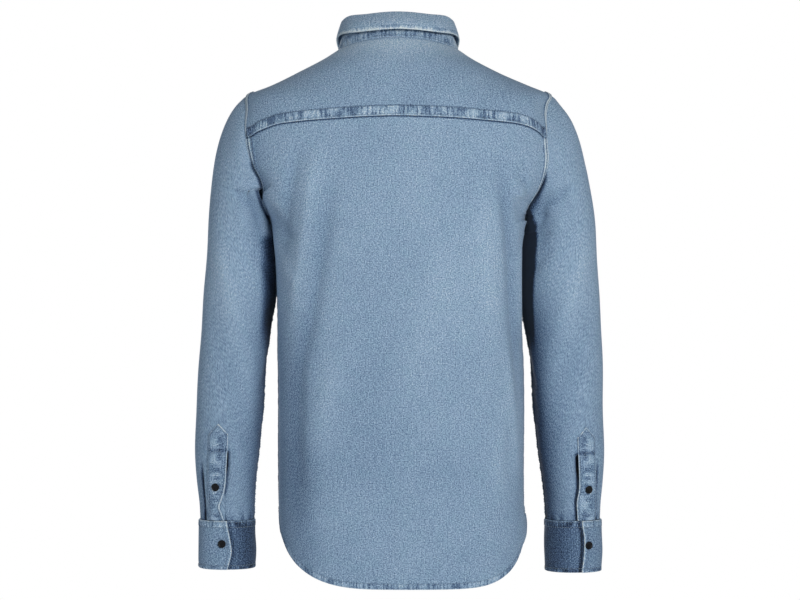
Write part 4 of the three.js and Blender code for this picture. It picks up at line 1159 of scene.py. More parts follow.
def sleeve_point(turn, row):
    point = sleeve_base(turn, row)
    z = point[..., 2]
    depth = np.zeros(z.shape)
    for fold in SLEEVE_FOLDS + SLEEVE_CREASES + PLEATS:
        depth += fold_of(turn, z, fold)
    depth += 0.5 * drift(np.cos(np.radians(turn)) * 50, z + np.sin(np.radians(turn)) * 50, 95, 29)
    at_cuff = 1 - smooth((z - SLEEVE["z"][-1]) / 12)
    at_head = smooth(np.asarray(row, float) / 0.25)
    normal = normal_of(sleeve_base, turn, row, 0.5, -0.02)
    return point + normal * (depth * (1 - 0.5 * at_cuff) * at_head)[..., None]


def sleeve_normal(turn, row):
    return normal_of(sleeve_point, turn, row, 0.5, -0.02)


def sleeve_row_at(z):
    return 1 + row_where(SLEEVE, "z", z)


# Where each sleeve stands off its solid's middle at each height, and how much wider it is
SWAY = {
    "left": table("z x wide", (-800, 1.5, 0), (-640, 1.8, -0.4), (-560, 3, -0.4), (-480, 2.7, -1),
                  (-400, 2.1, -2.4), (-320, 0.3, -1.4), (-230, -1.4, -1), (-130, -0.6, -0.4), (0, 0, 0)),
    "right": table("z x wide", (-800, 0.4, 0), (-640, 0.4, 0), (-560, -0.6, 0.8), (-480, -1.6, 0.8),
                   (-400, 0, 1.2), (-320, 0.4, 1), (-240, 0.9, 0.4), (-170, -1, -1.2), (-130, -1.6, -1.6),
                   (0, 0, 0)),
}


# Painted shade where each sleeve is shut in against the body: the crevice at its armhole begins at start
# degrees and has a reach; the pit below begins at from degrees, is soft, and has a top; the inner side is
# wide. seam, pit and side say how dark each is.
SHADOW = {
    "left": {"start": 91, "reach": 4, "from": 138, "soft": 18, "top": -245, "wide": 40,
             "seam": 1.1, "pit": 1.6, "side": 1.25},
    "right": {"start": 102, "reach": 8, "from": 146, "soft": 8, "top": -203, "wide": 50,
              "seam": 2.2, "pit": 3.3, "side": 1.8},
}
CREVICE_DEPTH = 2.4
# Painted shadow along each sleeve beside its strip's lapped edge
SLIT_SHADOW = {"left": 1.1, "right": 2.4}
# How far each sleeve's inner side fills the gap beside the body
INWARD = {
    "left": SleeveFold(-230, -376, 180, 180, 36, 3.4),
    "right": SleeveFold(-176, -408, 181, 180, 40, 7.6),
}
CLOSING = 10  # columns beside the tube's closing line
CLOSING_LIKE = 12  # the column that they take their thickness from


def strip_wave(name, z):
    return read_off(STRIP_WAVE[name], "z", z, "x")


def cuff_wave(name, t):
    return read_off(CUFF_WAVE[name], "t", t, "x")


def swayed(piece, name, share=1.0):
    z = piece.p[..., 2]
    piece.p[..., 0] += read_off(SWAY[name], "z", z, "x") * share
    piece.p += piece.n * (read_off(SWAY[name], "z", z, "wide") * share)[..., None]
    return piece


def mark_sleeve(piece, name, turn, shifted, z):
    """The underarm seam, the head's ripple, what is rubbed or darker, and painted shade in folds, pleats and
    beside the strip. z is each row's own height.
    """
    around = (shifted - 180 + 540) % 360 - 180  # the underarm seam lies at 180
    seam = UNDERARM["lift"] * (1 - smooth((np.abs(around) * 0.8 - UNDERARM["half"]) / 1.2))
    pucker = ripple(piece.along[0], 8, 41)
    piece.out += seam * (1 + 0.4 * pucker)
    piece.wear += UNDERARM["rub"] * seam * pucker
    piece.wear -= 0.25 * np.exp(-(piece.away["low"] / 3.2) ** 2)
    height = piece.p[..., 2]
    # Painted shadow in the pleats, and painted shade in the folds' troughs with rubbed light on their ridges.
    piece.wear += PLEAT_SHADE * sum(fold_of(shifted, height, pleat) for pleat in PLEATS)
    piece.wear += CREASE_SHADE_AND_RUB * sum(fold_of(shifted, height, fold) for fold in SLEEVE_FOLDS + SLEEVE_CREASES)
    # Painted shadow on the sleeve beside the strip's lapped edge.
    lapped = OPENING[name] + np.degrees((STRIP["over"] + strip_wave(name, z)) / ARM_HALF)
    beside = np.exp(-((shifted - lapped - 2.6) / 2.4) ** 2) * smooth((SLIT["top"] - STRIP_FALL[name] - z) / 6)
    piece.wear -= SLIT_SHADOW[name] * beside
    head = 0.35 * np.exp(-((piece.away["low"] - 5) / 6) ** 2) * ripple(piece.along[1], 16, 43)
    piece.out += head * smooth(turn / 20) * smooth((360 - turn) / 20)
    at_cuff = np.exp(-(piece.away["high"] / 9) ** 2)
    piece.wear += at_cuff * (-0.35 + 0.4 * ripple(piece.along[1], 9, 47))


def close_tube(piece, closed):
    """Above the slit the wall runs on round the arm, at its full thickness."""
    for grid in (piece.p, piece.n, piece.out, piece.inner, piece.wear):
        middle = (grid[closed, 0] + grid[closed, -1]) / 2
        grid[closed, 0] = middle
        grid[closed, -1] = middle
    outer = piece.out[:, CLOSING_LIKE:CLOSING_LIKE + 1]
    for grid, value in ((piece.out, outer), (piece.inner, np.full(outer.shape, -CLOTH))):
        for near in (slice(0, CLOSING), slice(-CLOSING, None)):
            grid[closed, near] = value[closed]


def shut_in(piece, name, angle):
    """Sinks the sleeve beside its armhole, paints shade on it where it lies against the body, and makes it
    darker towards the cuff.
    """
    shadow, height = SHADOW[name], piece.p[..., 2]
    crevice = np.exp(-((piece.away["low"] - 4) / shadow["reach"]) ** 2)
    crevice = crevice * smooth((angle - shadow["start"]) / 15) * smooth((200 - angle) / 30)
    piece.out -= CREVICE_DEPTH * crevice
    piece.inner -= CREVICE_DEPTH * crevice
    inside = np.exp(-((angle - 186) / shadow["wide"]) ** 2)
    pit = smooth((angle - shadow["from"]) / shadow["soft"]) * smooth((228 - angle) / 20)
    pit = pit * smooth((shadow["top"] - height) / 14) * smooth((height + 412) / 60)
    piece.wear -= shadow["seam"] * crevice + shadow["side"] * inside * smooth((-300 - height) / 80)
    piece.wear -= shadow["pit"] * pit + 0.16 * smooth((-350 - height) / 200)


def make_sleeve(name, sizes):
    opening, fall = OPENING[name], STRIP_FALL[name]
    above = stops(SLEEVE_TOP - SLIT["top"], 3.6, False, False)[1:]
    below = stops(SLIT["top"] - SLEEVE_END, 3.0, False, True)[1:]
    rows = np.concatenate([
        stops(HEAD_LENGTH, 3.4, True, False),
        sleeve_row_at(mix(SLEEVE_TOP, SLIT["top"], above)),
        sleeve_row_at(mix(SLIT["top"], SLEEVE_END, below))])
    turns = stops(SLEEVE_WIDTH, 2.2) * 360
    turn, row = np.meshgrid(turns, rows)
    z = sleeve_base(np.full_like(rows, float(opening)), rows)[:, 2][:, None]
    # Below the slit's top the first columns tuck in under the strip, and a wedge beside it gapes.
    opened = np.where(row > sleeve_row_at(SLIT["top"]), smooth((SLIT["top"] - z) / 40), 0)
    under = opened * (1 - smooth(turn / 22))
    wedge = smooth((SLIT["top"] - fall - 2 - z) / 5) * smooth((z + fall - SLIT["low"]) / 50)
    aside = mix(-SLIT["tuck"] * opened, SLIT["gape"], wedge)
    shifted = opening + turn + aside * (1 - smooth(turn / 14))
    normals = sleeve_normal(shifted, row)
    points = sleeve_point(shifted, row)
    points = points + normals * fold_of(shifted, points[..., 2], INWARD[name])[..., None]
    points = points - normals * (under * (2.2 + 1.2 * wedge))[..., None]
    piece = Piece(points, normals, seed=31)
    mark_sleeve(piece, name, turn, shifted, z)
    piece.rounded("left", "right", radius=0.9)
    swayed(piece, name, smooth(piece.away["low"] / 26))
    if name == "right":
        mirrored(piece)
    joined = rows <= sleeve_row_at(SLIT["top"]) + 1e-6
    close_tube(piece, slice(0, int(joined.sum())))
    shut_in(piece, name, shifted % 360)
    obj = piece.mesh("sleeve_" + name + "_cloth", denim_pair(), joined)
    surface = piece.face(STITCH_LIFT)
    lines = []
    for wanted in (180 - UNDERARM["stitch"], 180 + UNDERARM["stitch"]):
        column = int(np.argmin(np.abs(turns + opening - wanted)))
        lines.append(surface[2:-2, column])
    sewn = stitches("sleeve_" + name + "_stitches", lines, sizes, 15)
    finish_piece(obj, "sleeve_" + name)


def make_strip(name, sizes):
    """The sleeve placket: a double strip along the slit, pointed at its top."""
    out = DOUBLE + LAY
    us, vs = stops(STRIP["width"], 1.4), stops(STRIP["length"], 2.4)
    across, down = np.meshgrid(us, vs)
    tip = STRIP["point"] * (1 - np.abs(2 * across - 1))
    fall = STRIP_FALL[name]
    top = STRIP["top"] - fall - STRIP["point"] + tip
    z = mix(top, STRIP["foot"], down)
    row = sleeve_row_at(z)
    arm = look_up(SLEEVE, "z", z, "half") * 1.04
    wave = strip_wave(name, z) * (1 - smooth(across * 1.6))
    turn = OPENING[name] + np.degrees((STRIP["over"] + wave - STRIP["width"] * across) / arm)
    normals = sleeve_normal(turn, row)
    piece = Piece(sleeve_point(turn, row) + normals * out, normals, DOUBLE, seed=53)
    piece.uv[..., 1] = -z
    free = Edge(0.2, 3, lines=(Line(0.3, 1.0, 1.3, 0.1), Line(STRIP_STITCH, 0.8, -0.9, -0.25)))
    far = Edge(0.1, 3, lines=(Line(0.3, 0.9, 0.6, 0), Line(STRIP_STITCH, 0.8, -1.0, -0.3)))
    piece.edge("left", free).edge("right", far).edge("low", free)
    piece.rope[1] = np.maximum(piece.rope[1], 0.8 * np.sin(math.pi * across))
    piece.wear -= 0.12
    piece.out += 0.35 * ripple(-z + 6 * across, 15, 59) * np.sin(math.pi * across)
    # The bar tack pulls a dent across the strip.
    dent = np.exp(-((z + fall - BAR_TACK["dent"]) / 2.2) ** 2)
    piece.out -= 0.7 * dent
    piece.wear -= 0.9 * dent
    piece.rounded("left", "right", "low", radius=1.2)
    swayed(piece, name)
    if name == "right":
        mirrored(piece)
    obj = piece.mesh("sleeve_placket_" + name + "_cloth", denim_pair(double=True))
    shares = {"left": (0.3, 0.99), "right": (0.02, 0.99), "low": (0.08, 0.92)}
    lines = [piece.line(side, STRIP_STITCH, *share) for side, share in shares.items()]
    surface = piece.face(STITCH_LIFT)
    for height in BAR_TACK["rows"]:
        at = int(np.argmin(np.abs(z[:, len(us) // 2] - height + fall)))
        lines.append(surface[at, 8:-8])
    sewn = stitches("sleeve_placket_" + name + "_stitches", lines, sizes, 17)
    finish_piece(obj, "sleeve_placket_" + name, slot="denim_double")


def cuff_place(name, wound, t):
    """Point and normal of a cuff: wound is how far round the strip has gone from its lapped end."""
    turn = np.radians(CUFF_OPENING[name] - wound)
    under = smooth((wound - 300) / 60) * (DOUBLE + LAY)
    c, s = squared_ellipse(turn, 2.0)
    swell = 1 + 0.02 * np.sin(math.pi * t)
    x = CUFF["x"] + c * (CUFF["half"] * swell - under)
    y = CUFF["y"] + s * (CUFF["deep"] * swell - under)
    z = mix(CUFF["top"], CUFF["bottom"] - CUFF_FALL[name], t) + 0 * c
    return np.stack([x, y, z], axis=-1), np.stack([c, s, 0 * c], axis=-1)


def make_cuff(name, sizes):
    share, t = np.meshgrid(stops(CUFF_WIDTH, 2.8), stops(CUFF_HEIGHT, 2.3))
    wave = cuff_wave(name, t) * (1 - smooth(share * 9))
    wound = share * (360 + CUFF_TUCK) - np.degrees(wave / CUFF["half"])
    points, normals = cuff_place(name, wound, t)
    piece = Piece(points, normals, DOUBLE, seed=67 if name == "left" else 71)
    piece.edge("low", Edge(0.35, 8.5, 0, 0.9, (
        Line(0.3, 1.1, 1.1, 0), *(Line(d, 0.8, -0.4, -0.3) for d in CUFF_STITCH["top"]))))
    sewn_in = CUFF_STITCH["edge"]
    piece.edge("high", Edge(0.3, 5, 0, 1.0, (Line(0.3, 0.9, 0.6, 0), Line(sewn_in, 0.8, -0.4, -0.3))))
    piece.edge("left", Edge(0.3, 4, lines=(Line(0.3, 1.1, 1.6, 0.15), Line(sewn_in, 0.8, -0.4, -0.2))))
    piece.out += 0.5 * drift(piece.along[1], piece.along[0], 46, 73) * smooth(piece.away["low"] / 12)
    # Painted shade on the side towards the body and painted shadow beside the lapped end; all over, the cuff
    # is darker, partly its dye and partly painted shade.
    toward_body = smooth((piece.away["right"] - 2) / 62) * smooth((175 - piece.away["right"]) / 60)
    lapped = 360 - np.degrees(cuff_wave(name, t) / CUFF["half"])
    beside = np.exp(-((wound - lapped + 3.6) / 3.4) ** 2)
    dye_and_shade = CUFF_DYE_AND_SHADE[name]
    piece.wear -= dye_and_shade["all"] + dye_and_shade["body"] * toward_body + dye_and_shade["lap"] * beside
    piece.rounded("low", "high", "left", "right", radius=1.3)
    swayed(piece, name)
    if name == "right":
        mirrored(piece)
    obj = piece.mesh("cuff_" + name + "_cloth", denim_pair(double=True))
    lines = [piece.line("low", d, 0.012, 0.93) for d in CUFF_STITCH["top"]]
    lines += [piece.line("high", sewn_in, 0.012, 0.93), piece.line("left", sewn_in, 0.1, 0.9)]
    sewn = stitches("cuff_" + name + "_stitches", lines, sizes, 19)
    finish_piece(obj, "cuff_" + name, slot="denim_double")


# Collar

STAND = {"back": 29.5, "side": 33, "front": 29, "lean": 10.5, "tuck": 11, "length": 440, "height": 31}
STAND_LEVEL = {"rise": 4.4, "at": 65, "wide": 22}  # so that the fold lies level behind the neck
STAND_STITCH = {"low": 2.4, "high": 3}
LEAF_LENGTH = 420
LEAF_DEPTH = 50
LEAF_STITCH = 5.6
LEAF_BULGE = {"behind": 3, "side": 0.4}
LEAF_ROLL = 3.6
LEAF_DROP = 2.3  # the leaf's own weight settles it behind the neck
LEAF_EDGE = table(
    "at x y z",
    (-45, -55, 54, 21),
    (0, 0, 73, 23.5),
    (45, 55, 54, 21),
    (75, 77, 20, 20.5),
    (100, 81.5, -17, 11.5),
    (125, 73, -48, -19),
    (145, 64, -71, -56),
    (163, 52, -84, -88),
    (177, 38, -91, -97),
)
ROLL_SHARE = 0.3  # of the leaf's rows, over the fold


def stand_point(turn, t):
    turn, t = np.broadcast_arrays(np.asarray(turn, float), np.asarray(t, float))
    s, c = np.sin(np.radians(turn)), np.cos(np.radians(turn))
    end = np.where(c > 0, STAND["back"], STAND["front"])
    height = mix(STAND["side"], end, c * c)
    inward = STAND["lean"] * (1 + 0.35 * np.maximum(0, c))
    level = np.exp(-((np.abs(turn) - STAND_LEVEL["at"]) / STAND_LEVEL["wide"]) ** 2)
    height = height + STAND_LEVEL["rise"] * level
    rise = np.stack([-s * inward * t, -c * inward * t, height * t + SEAM_GAP + 0.3], axis=-1)
    return body_base(turn, np.full(turn.shape, float(NECK))) + rise


def stand_normal(turn, t):
    return normal_of(stand_point, turn, t, -0.5, 0.05)


def make_stand(sizes):
    reach = 180 + STAND["tuck"]
    turn, t = np.meshgrid(mix(-reach, reach, stops(STAND["length"], 2.7)), stops(STAND["height"], 1.7))
    out = (DOUBLE + LAY) * smooth((turn - (180 - 4 * STAND["tuck"])) / (3 * STAND["tuck"]))
    normals = stand_normal(turn, t)
    piece = Piece(stand_point(turn, t) + normals * out[..., None], normals, DOUBLE, seed=79)
    piece.edge("low", Edge(0.3, 14, 0, 0.9, (
        Line(0.2, 0.8, 0.2, 0), Line(STAND_STITCH["low"], 0.7, -0.4, -0.2))))
    piece.edge("left", Edge(lines=(Line(0.3, 1, 0.5, 0),))).edge("right", Edge(lines=(Line(0.3, 1, 0.9, 0),)))
    # Painted light brightens the stand at its sides, where the leaf's edge shades it.
    piece.wear += 0.6 * np.exp(-((np.abs(turn) - 85) / 28) ** 2)
    piece.rounded("low", "high", "left", "right", radius=1.2)
    obj = piece.mesh("collar_stand_cloth", denim_pair(double=True))
    lines = [piece.line(side, d, 0.01, 0.99) for side, d in STAND_STITCH.items()]
    lines.append(piece.line("right", STAND_STITCH["high"], 0.1, 0.9))
    sewn = stitches("collar_stand_stitches", lines, sizes, 23)
    finish_piece(obj, "collar_stand", slot="denim_double")


def leaf_point(turn, w):
    """The turned-down leaf: w is 0 inside the fold over the stand and 1 at the leaf's edge."""
    turn, w = np.broadcast_arrays(np.asarray(turn, float), np.asarray(w, float))
    foot = stand_point(turn, np.ones_like(turn))
    away = unit(foot * np.array([1, 1.5, 0]))
    up = np.array([0, 0, 1.0])
    pivot = foot + up * 1.6 + away * 1.4
    angle = np.radians(mix(-20, 140, np.clip(w / ROLL_SHARE, 0, 1)))[..., None]
    rolled = pivot + (up * np.sin(angle) - away * np.cos(angle)) * LEAF_ROLL
    side = np.abs(turn)
    edge = np.stack([np.sign(turn) * look_up(LEAF_EDGE, "at", side, "x"),
                     look_up(LEAF_EDGE, "at", side, "y"), look_up(LEAF_EDGE, "at", side, "z")], axis=-1)
    fall = np.clip((w - ROLL_SHARE) / (1 - ROLL_SHARE), 0, 1)[..., None]
    drop = up * LEAF_DROP * smooth((130 - side) / 60)[..., None]
    bulge = mix(LEAF_BULGE["behind"], LEAF_BULGE["side"], smooth((side - 35) / 35))[..., None]
    return mix(rolled, edge, fall) + away * bulge * np.sin(math.pi * fall) - drop


def make_leaf(sizes):
    last = LEAF_EDGE["at"][-1]
    us = mix(-last, last, stops(LEAF_LENGTH, 2.6))
    roll, fall = stops(12, 1.2, False, False) * ROLL_SHARE, stops(LEAF_DEPTH, 2.0, False, True)[1:]
    turn, w = np.meshgrid(us, np.concatenate([roll, mix(ROLL_SHARE, 1, fall)]))
    normals = -normal_of(leaf_point, turn, np.clip(w, 0.01, 0.99), 0.5, 0.01)
    piece = Piece(leaf_point(turn, w), normals, DOUBLE, seed=83)
    edge = Edge(0.3, 5.5, 0, 0.7, (Line(0.7, 1.7, 1.05, 0.1), Line(LEAF_STITCH, 0.7, -0.3, -0.25)))
    piece.edge("high", edge).edge("left", edge).edge("right", edge)
    # Painted light: the whole leaf is made lighter, as light from above would make it.
    piece.wear += 0.3
    piece.out += 0.4 * drift(piece.along[1], piece.along[0], 70, 89) * smooth(w / 0.5)
    piece.rounded("low", "high", "left", "right", radius=1.3)
    obj = piece.mesh("collar_leaf_cloth", denim_pair(double=True))
    lines = [piece.line("high", LEAF_STITCH, 0.012, 0.988)]
    lines += [piece.line(side, LEAF_STITCH, 0.25, 0.9) for side in ("left", "right")]
    sewn = stitches("collar_leaf_stitches", lines, sizes, 29)
    finish_piece(obj, "collar_leaf", slot="denim_double")


# Press studs

STUD_PROFILE = (  # radius and height, from the middle of the foot over the rim into the dish
    (0.0, 0.0), (5.3, 0.0), (5.75, 0.35), (5.85, 1.0), (5.7, 1.75), (5.35, 2.25), (4.95, 2.4),
    (4.6, 2.3), (4.35, 1.95), (3.9, 1.72), (2.2, 1.62), (0.0, 1.6),
)
STUD_SIDES = 40
FRONT_STUDS = {"first": -100, "pitch": 95, "count": 6}


def stud_pattern(radius):
    """One press stud's cap, standing on z = 0: a rolled rim round a shallow dish."""
    scale = radius / max(r for r, z in STUD_PROFILE)
    made = bmesh.new()
    angles = np.linspace(0, math.tau, STUD_SIDES, endpoint=False)
    circles = []
    for r, z in STUD_PROFILE:
        r, z = r * scale, z * MM
        if r == 0:
            circles.append([made.verts.new((0, 0, z))])
        else:
            circles.append([made.verts.new((r * math.cos(a), r * math.sin(a), z)) for a in angles])
    for low, high in zip(circles, circles[1:]):
        for k in range(STUD_SIDES):
            nxt = (k + 1) % STUD_SIDES
            corners = [low[k % len(low)], low[nxt % len(low)], high[nxt % len(high)], high[k % len(high)]]
            made.faces.new(list(dict.fromkeys(corners)))
    bmesh.ops.recalc_face_normals(made, faces=made.faces)
    mesh = bpy.data.meshes.new("stud_pattern")
    made.to_mesh(mesh)
    made.free()
    mesh.polygons.foreach_set("use_smooth", np.ones(len(mesh.polygons), bool))
    return bpy.data.objects.new("stud_pattern", mesh)


def stud_tree():
    """Sets a stud on each point, its face along the point's own direction."""
    tree = bpy.data.node_groups.new("Studs", "GeometryNodeTree")
    face = tree.interface
    face.new_socket("Places", in_out="INPUT", socket_type="NodeSocketGeometry")
    face.new_socket("Stud", in_out="INPUT", socket_type="NodeSocketObject")
    face.new_socket("Material", in_out="INPUT", socket_type="NodeSocketMaterial")
    face.new_socket("Studs", in_out="OUTPUT", socket_type="NodeSocketGeometry")
    given = add_node(tree, "NodeGroupInput").outputs
    facing = add_node(tree, "GeometryNodeInputNamedAttribute", {"data_type": "FLOAT_VECTOR"},
                      {"Name": "facing"})
    aligned = add_node(tree, "FunctionNodeAlignRotationToVector", {"axis": "Z"},
                       {"Vector": facing.outputs["Attribute"]})
    pattern = add_node(tree, "GeometryNodeObjectInfo", {"transform_space": "ORIGINAL"},
                       {"Object": given["Stud"]})
    placed = add_node(tree, "GeometryNodeInstanceOnPoints", inputs={
        "Points": given["Places"], "Instance": pattern.outputs["Geometry"],
        "Rotation": aligned.outputs["Rotation"]})
    real = add_node(tree, "GeometryNodeRealizeInstances", inputs={"Geometry": placed.outputs["Instances"]})
    painted = add_node(tree, "GeometryNodeSetMaterial", inputs={
        "Geometry": real.outputs["Geometry"], "Material": given["Material"]})
    add_node(tree, "NodeGroupOutput", inputs={"Studs": painted.outputs["Geometry"]})
    return tree


def stud_places():
    """The CAD node, the point on the cloth and the direction of each stud."""
    places = []
    for k in range(FRONT_STUDS["count"]):
        ring = ring_at(180.0, FRONT_STUDS["first"] - k * FRONT_STUDS["pitch"])
        n = body_normal(180.0, ring)
        places.append(("snap_front_%d" % (k + 1), body_point(180.0, ring) + n * (DOUBLE + LAY), n))
    n = stand_normal(180.0, 0.5)
    places.append(("snap_collar", stand_point(180.0, 0.5) + n * (DOUBLE + LAY), n))
    for name in ("left", "right"):
        side = np.array([1 if name == "left" else -1, 1, 1])
        row = sleeve_row_at(float(STRIP_STUD_Z[name]))
        turn = OPENING[name] - math.degrees(STUD_INSET / ARM_HALF)
        n = sleeve_normal(turn, row)
        point = sleeve_point(turn, row) + n * (DOUBLE + LAY)
        point[0] += read_off(SWAY[name], "z", point[2], "x")
        places.append(("snap_placket_" + name, point * side, n * side))
        t = (CUFF["top"] - CUFF_STUD_Z[name]) / (CUFF["top"] - CUFF["bottom"] + CUFF_FALL[name])
        inset = STUD_INSET - 0.9 * abs(cuff_wave(name, t))
        point, n = cuff_place(name, math.degrees(inset / CUFF["half"]), t)
        point[0] += read_off(SWAY[name], "z", point[2], "x")
        places.append(("snap_cuff_" + name, point * side, n * side))
    return places


def make_studs(sizes):
    nodes, points, facing = zip(*stud_places())
    mesh = bpy.data.meshes.new("press_studs")
    points = leant(np.array(points)) + np.array(facing) * 0.2
    mesh.from_pydata((points * MM).tolist(), [], [])
    looks = mesh.attributes.new("facing", "FLOAT_VECTOR", "POINT")
    looks.data.foreach_set("vector", np.array(facing).ravel().astype(np.float32))
    obj = bpy.data.objects.new("press_studs", mesh)
    pattern = stud_pattern(sizes.stud_radius)
    for made in (obj, pattern):
        bpy.context.scene.collection.objects.link(made)
    made_plain(obj, stud_tree(), {"Stud": pattern, "Material": stud_material()})
    bpy.data.objects.remove(pattern)
    finish_piece(obj, *nodes, slot="press_stud")


# Stage

# In metres and watts
CAMERA = {"away": 3.2, "x": -0.0007, "z": -0.3362, "lens": 106.67, "sensor": 36.0}
FLOOR_RADIUS = 3
LIT_POINT = (0, 0, -0.33)
Lamp = namedtuple("Lamp", "name place size power colour")
LAMPS = (
    Lamp("key", (-1.25, 3.1, 0.35), 0.9, 70, (1, 0.985, 0.965)),
    Lamp("fill", (2.6, 1.5, 0.1), 1.6, 13, (0.95, 0.97, 1)),
    Lamp("front_key", (0.8, -3.2, 0.3), 1.5, 68, (1, 0.985, 0.965)),
)


def area_light(lamp):
    light = bpy.data.lights.new(lamp.name, "AREA")
    light.shape = "DISK"
    light.size = lamp.size
    light.energy = lamp.power
    light.color = lamp.colour
    obj = bpy.data.objects.new(lamp.name, light)
    obj.location = lamp.place
    obj.rotation_euler = (Vector(LIT_POINT) - Vector(lamp.place)).to_track_quat("-Z", "Y").to_euler()
    bpy.context.scene.collection.objects.link(obj)


def make_stage(sizes):
    scene = bpy.context.scene
    floor = bpy.data.meshes.new("floor")
    angles = np.linspace(0, math.tau, 96, endpoint=False)
    corners = [(FLOOR_RADIUS * math.cos(a), FLOOR_RADIUS * math.sin(a), -sizes.floor_drop) for a in angles]
    floor.from_pydata(corners, [], [list(range(len(corners)))])
    paint = bpy.data.materials.new("matt_floor_paint")
    paint.use_nodes = True
    finish = paint.node_tree.nodes["Principled BSDF"].inputs
    finish["Base Color"].default_value = (0.86, 0.86, 0.87, 1)
    finish["Roughness"].default_value = 0.8
    floor.materials.append(paint)
    ground = bpy.data.objects.new("floor", floor)
    scene.collection.objects.link(ground)

    world = bpy.data.worlds.new("soft_white_room")
    scene.world = world
    world.use_nodes = True
    tree = world.node_tree
    tree.nodes.clear()
    ray = add_node(tree, "ShaderNodeLightPath")
    lit = add_node(tree, "ShaderNodeBackground", inputs={"Color": (0.93, 0.96, 1, 1), "Strength": 0.2})
    seen = add_node(tree, "ShaderNodeBackground", inputs={"Color": (1, 1, 1, 1), "Strength": 1.0})
    both = add_node(tree, "ShaderNodeMixShader", inputs={
        0: ray.outputs["Is Camera Ray"], 1: lit.outputs[0], 2: seen.outputs[0]})
    add_node(tree, "ShaderNodeOutputWorld", inputs={"Surface": both.outputs[0]})

    for lamp in LAMPS:
        area_light(lamp)

    camera = bpy.data.cameras.new("camera")
    camera.sensor_width = CAMERA["sensor"]
    camera.lens = CAMERA["lens"]
    eye = bpy.data.objects.new("camera", camera)
    eye.location = (CAMERA["x"], CAMERA["away"], CAMERA["z"])
    eye.rotation_euler = (math.pi / 2, 0, math.pi)
    scene.collection.objects.link(eye)
    scene.camera = eye
    scene.view_settings.view_transform = "Standard"


# The add-on

class ShirtSizes(bpy.types.PropertyGroup):
    stitch_pitch: bpy.props.FloatProperty(
        name="Stitch pitch", description="From one stitch to the next", default=0.0036, unit="LENGTH")
    stitch_length: bpy.props.FloatProperty(
        name="Stitch length", description="Thread that shows in one stitch", default=0.0029, unit="LENGTH")
    thread: bpy.props.FloatProperty(
        name="Thread", description="Thickness of the sewing thread", default=0.00075, unit="LENGTH")
    stud_radius: bpy.props.FloatProperty(
        name="Stud radius", description="Half the width of a press stud's cap", default=0.0054, unit="LENGTH")
    floor_drop: bpy.props.FloatProperty(
        name="Floor drop", description="From the shoulders down to the floor", default=1.3, unit="LENGTH")


def colour_property(name, description, hex_colour):
    return bpy.props.FloatVectorProperty(
        name=name, description=description, subtype="COLOR", size=3, min=0, max=1,
        default=linear(hex_colour))


class ShirtColours(bpy.types.PropertyGroup):
    # The darkest blue is also the painted shadow in pleats and where the sleeves lie against the body.
    unfaded_and_shadow: colour_property("Unfaded", "All of its dye, in the depth of pleats", "#1d2837")
    indigo: colour_property("Indigo", "Little faded, in the puckers of the seams", "#43597a")
    faded: colour_property("Faded", "Darker threads of the cloth", "#6c86a2")
    washed: colour_property("Washed", "The cloth's main blue", "#8aa4bf")
    pale: colour_property("Pale", "Lighter threads of the cloth", "#a1bad1")
    rubbed: colour_property("Rubbed", "Edges rubbed down to the white yarn", "#d3dee2")
    reverse: colour_property("Reverse", "Undyed yarn on the inside", "#b4bfc8")
    thread: colour_property("Thread", "Sewing thread", "#8299ad")
    stud: colour_property("Stud", "Black enamel of the press studs", "#090b0e")


class PieceOperator:
    """Shared by the operators: each makes its pieces from the scene's sizes."""

    bl_options = {"REGISTER", "UNDO"}

    def execute(self, context):
        self.build(context.scene.shirt_sizes)
        return {"FINISHED"}


class SHIRT_OT_stage(PieceOperator, bpy.types.Operator):
    """Floor, lights and camera"""

    bl_idname = "shirt.stage"
    bl_label = "Stage"

    def build(self, sizes):
        make_stage(sizes)


class SHIRT_OT_back(PieceOperator, bpy.types.Operator):
    """Back panel with its hem and side seams"""

    bl_idname = "shirt.back"
    bl_label = "Back"

    def build(self, sizes):
        make_back(sizes)


class SHIRT_OT_yoke(PieceOperator, bpy.types.Operator):
    """Yoke over the shoulders"""

    bl_idname = "shirt.yoke"
    bl_label = "Yoke"

    def build(self, sizes):
        make_yoke(sizes)


class SHIRT_OT_fronts(PieceOperator, bpy.types.Operator):
    """Both fronts and the placket that closes them"""

    bl_idname = "shirt.fronts"
    bl_label = "Fronts"

    def build(self, sizes):
        for side in (1, -1):
            make_front(side, sizes)
        make_front_placket(sizes)


class SHIRT_OT_sleeves(PieceOperator, bpy.types.Operator):
    """Both sleeves with their slits"""

    bl_idname = "shirt.sleeves"
    bl_label = "Sleeves"

    def build(self, sizes):
        for name in ("left", "right"):
            make_sleeve(name, sizes)


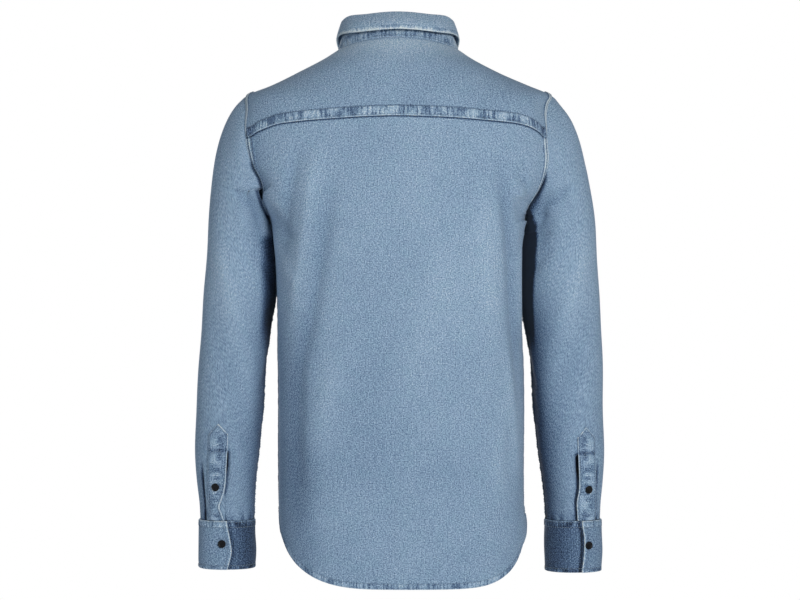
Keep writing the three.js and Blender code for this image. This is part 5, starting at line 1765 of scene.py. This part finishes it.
class SHIRT_OT_cuffs(PieceOperator, bpy.types.Operator):
    """Sleeve plackets and cuffs"""

    bl_idname = "shirt.cuffs"
    bl_label = "Cuffs"

    def build(self, sizes):
        for name in ("left", "right"):
            make_strip(name, sizes)
            make_cuff(name, sizes)


class SHIRT_OT_collar(PieceOperator, bpy.types.Operator):
    """Collar stand and the leaf that turns down over it"""

    bl_idname = "shirt.collar"
    bl_label = "Collar"

    def build(self, sizes):
        make_stand(sizes)
        make_leaf(sizes)


class SHIRT_OT_studs(PieceOperator, bpy.types.Operator):
    """Press studs of the front, collar, cuffs and sleeve plackets"""

    bl_idname = "shirt.studs"
    bl_label = "Press studs"

    def build(self, sizes):
        make_studs(sizes)


OPERATORS = (SHIRT_OT_stage, SHIRT_OT_back, SHIRT_OT_yoke, SHIRT_OT_fronts, SHIRT_OT_sleeves,
             SHIRT_OT_cuffs, SHIRT_OT_collar, SHIRT_OT_studs)


class SHIRT_PT_panel(bpy.types.Panel):
    """Sizes, colours and pieces of the shirt"""

    bl_idname = "SHIRT_PT_panel"
    bl_label = "Denim shirt"
    bl_space_type = "VIEW_3D"
    bl_region_type = "UI"
    bl_category = "Shirt"

    def draw(self, context):
        for group in (context.scene.shirt_sizes, context.scene.shirt_colours):
            for name in group.__annotations__:
                self.layout.prop(group, name)
        for operator in OPERATORS:
            self.layout.operator(operator.bl_idname)


CLASSES = (ShirtSizes, ShirtColours, *OPERATORS, SHIRT_PT_panel)


def register():
    for cls in CLASSES:
        bpy.utils.register_class(cls)
    bpy.types.Scene.shirt_sizes = bpy.props.PointerProperty(type=ShirtSizes)
    bpy.types.Scene.shirt_colours = bpy.props.PointerProperty(type=ShirtColours)


def unregister():
    del bpy.types.Scene.shirt_colours
    del bpy.types.Scene.shirt_sizes
    for cls in reversed(CLASSES):
        bpy.utils.unregister_class(cls)


def main():
    register()
    for operator in OPERATORS:
        group, name = operator.bl_idname.split(".")
        getattr(getattr(bpy.ops, group), name)()


if __name__ == "__main__":
    main()
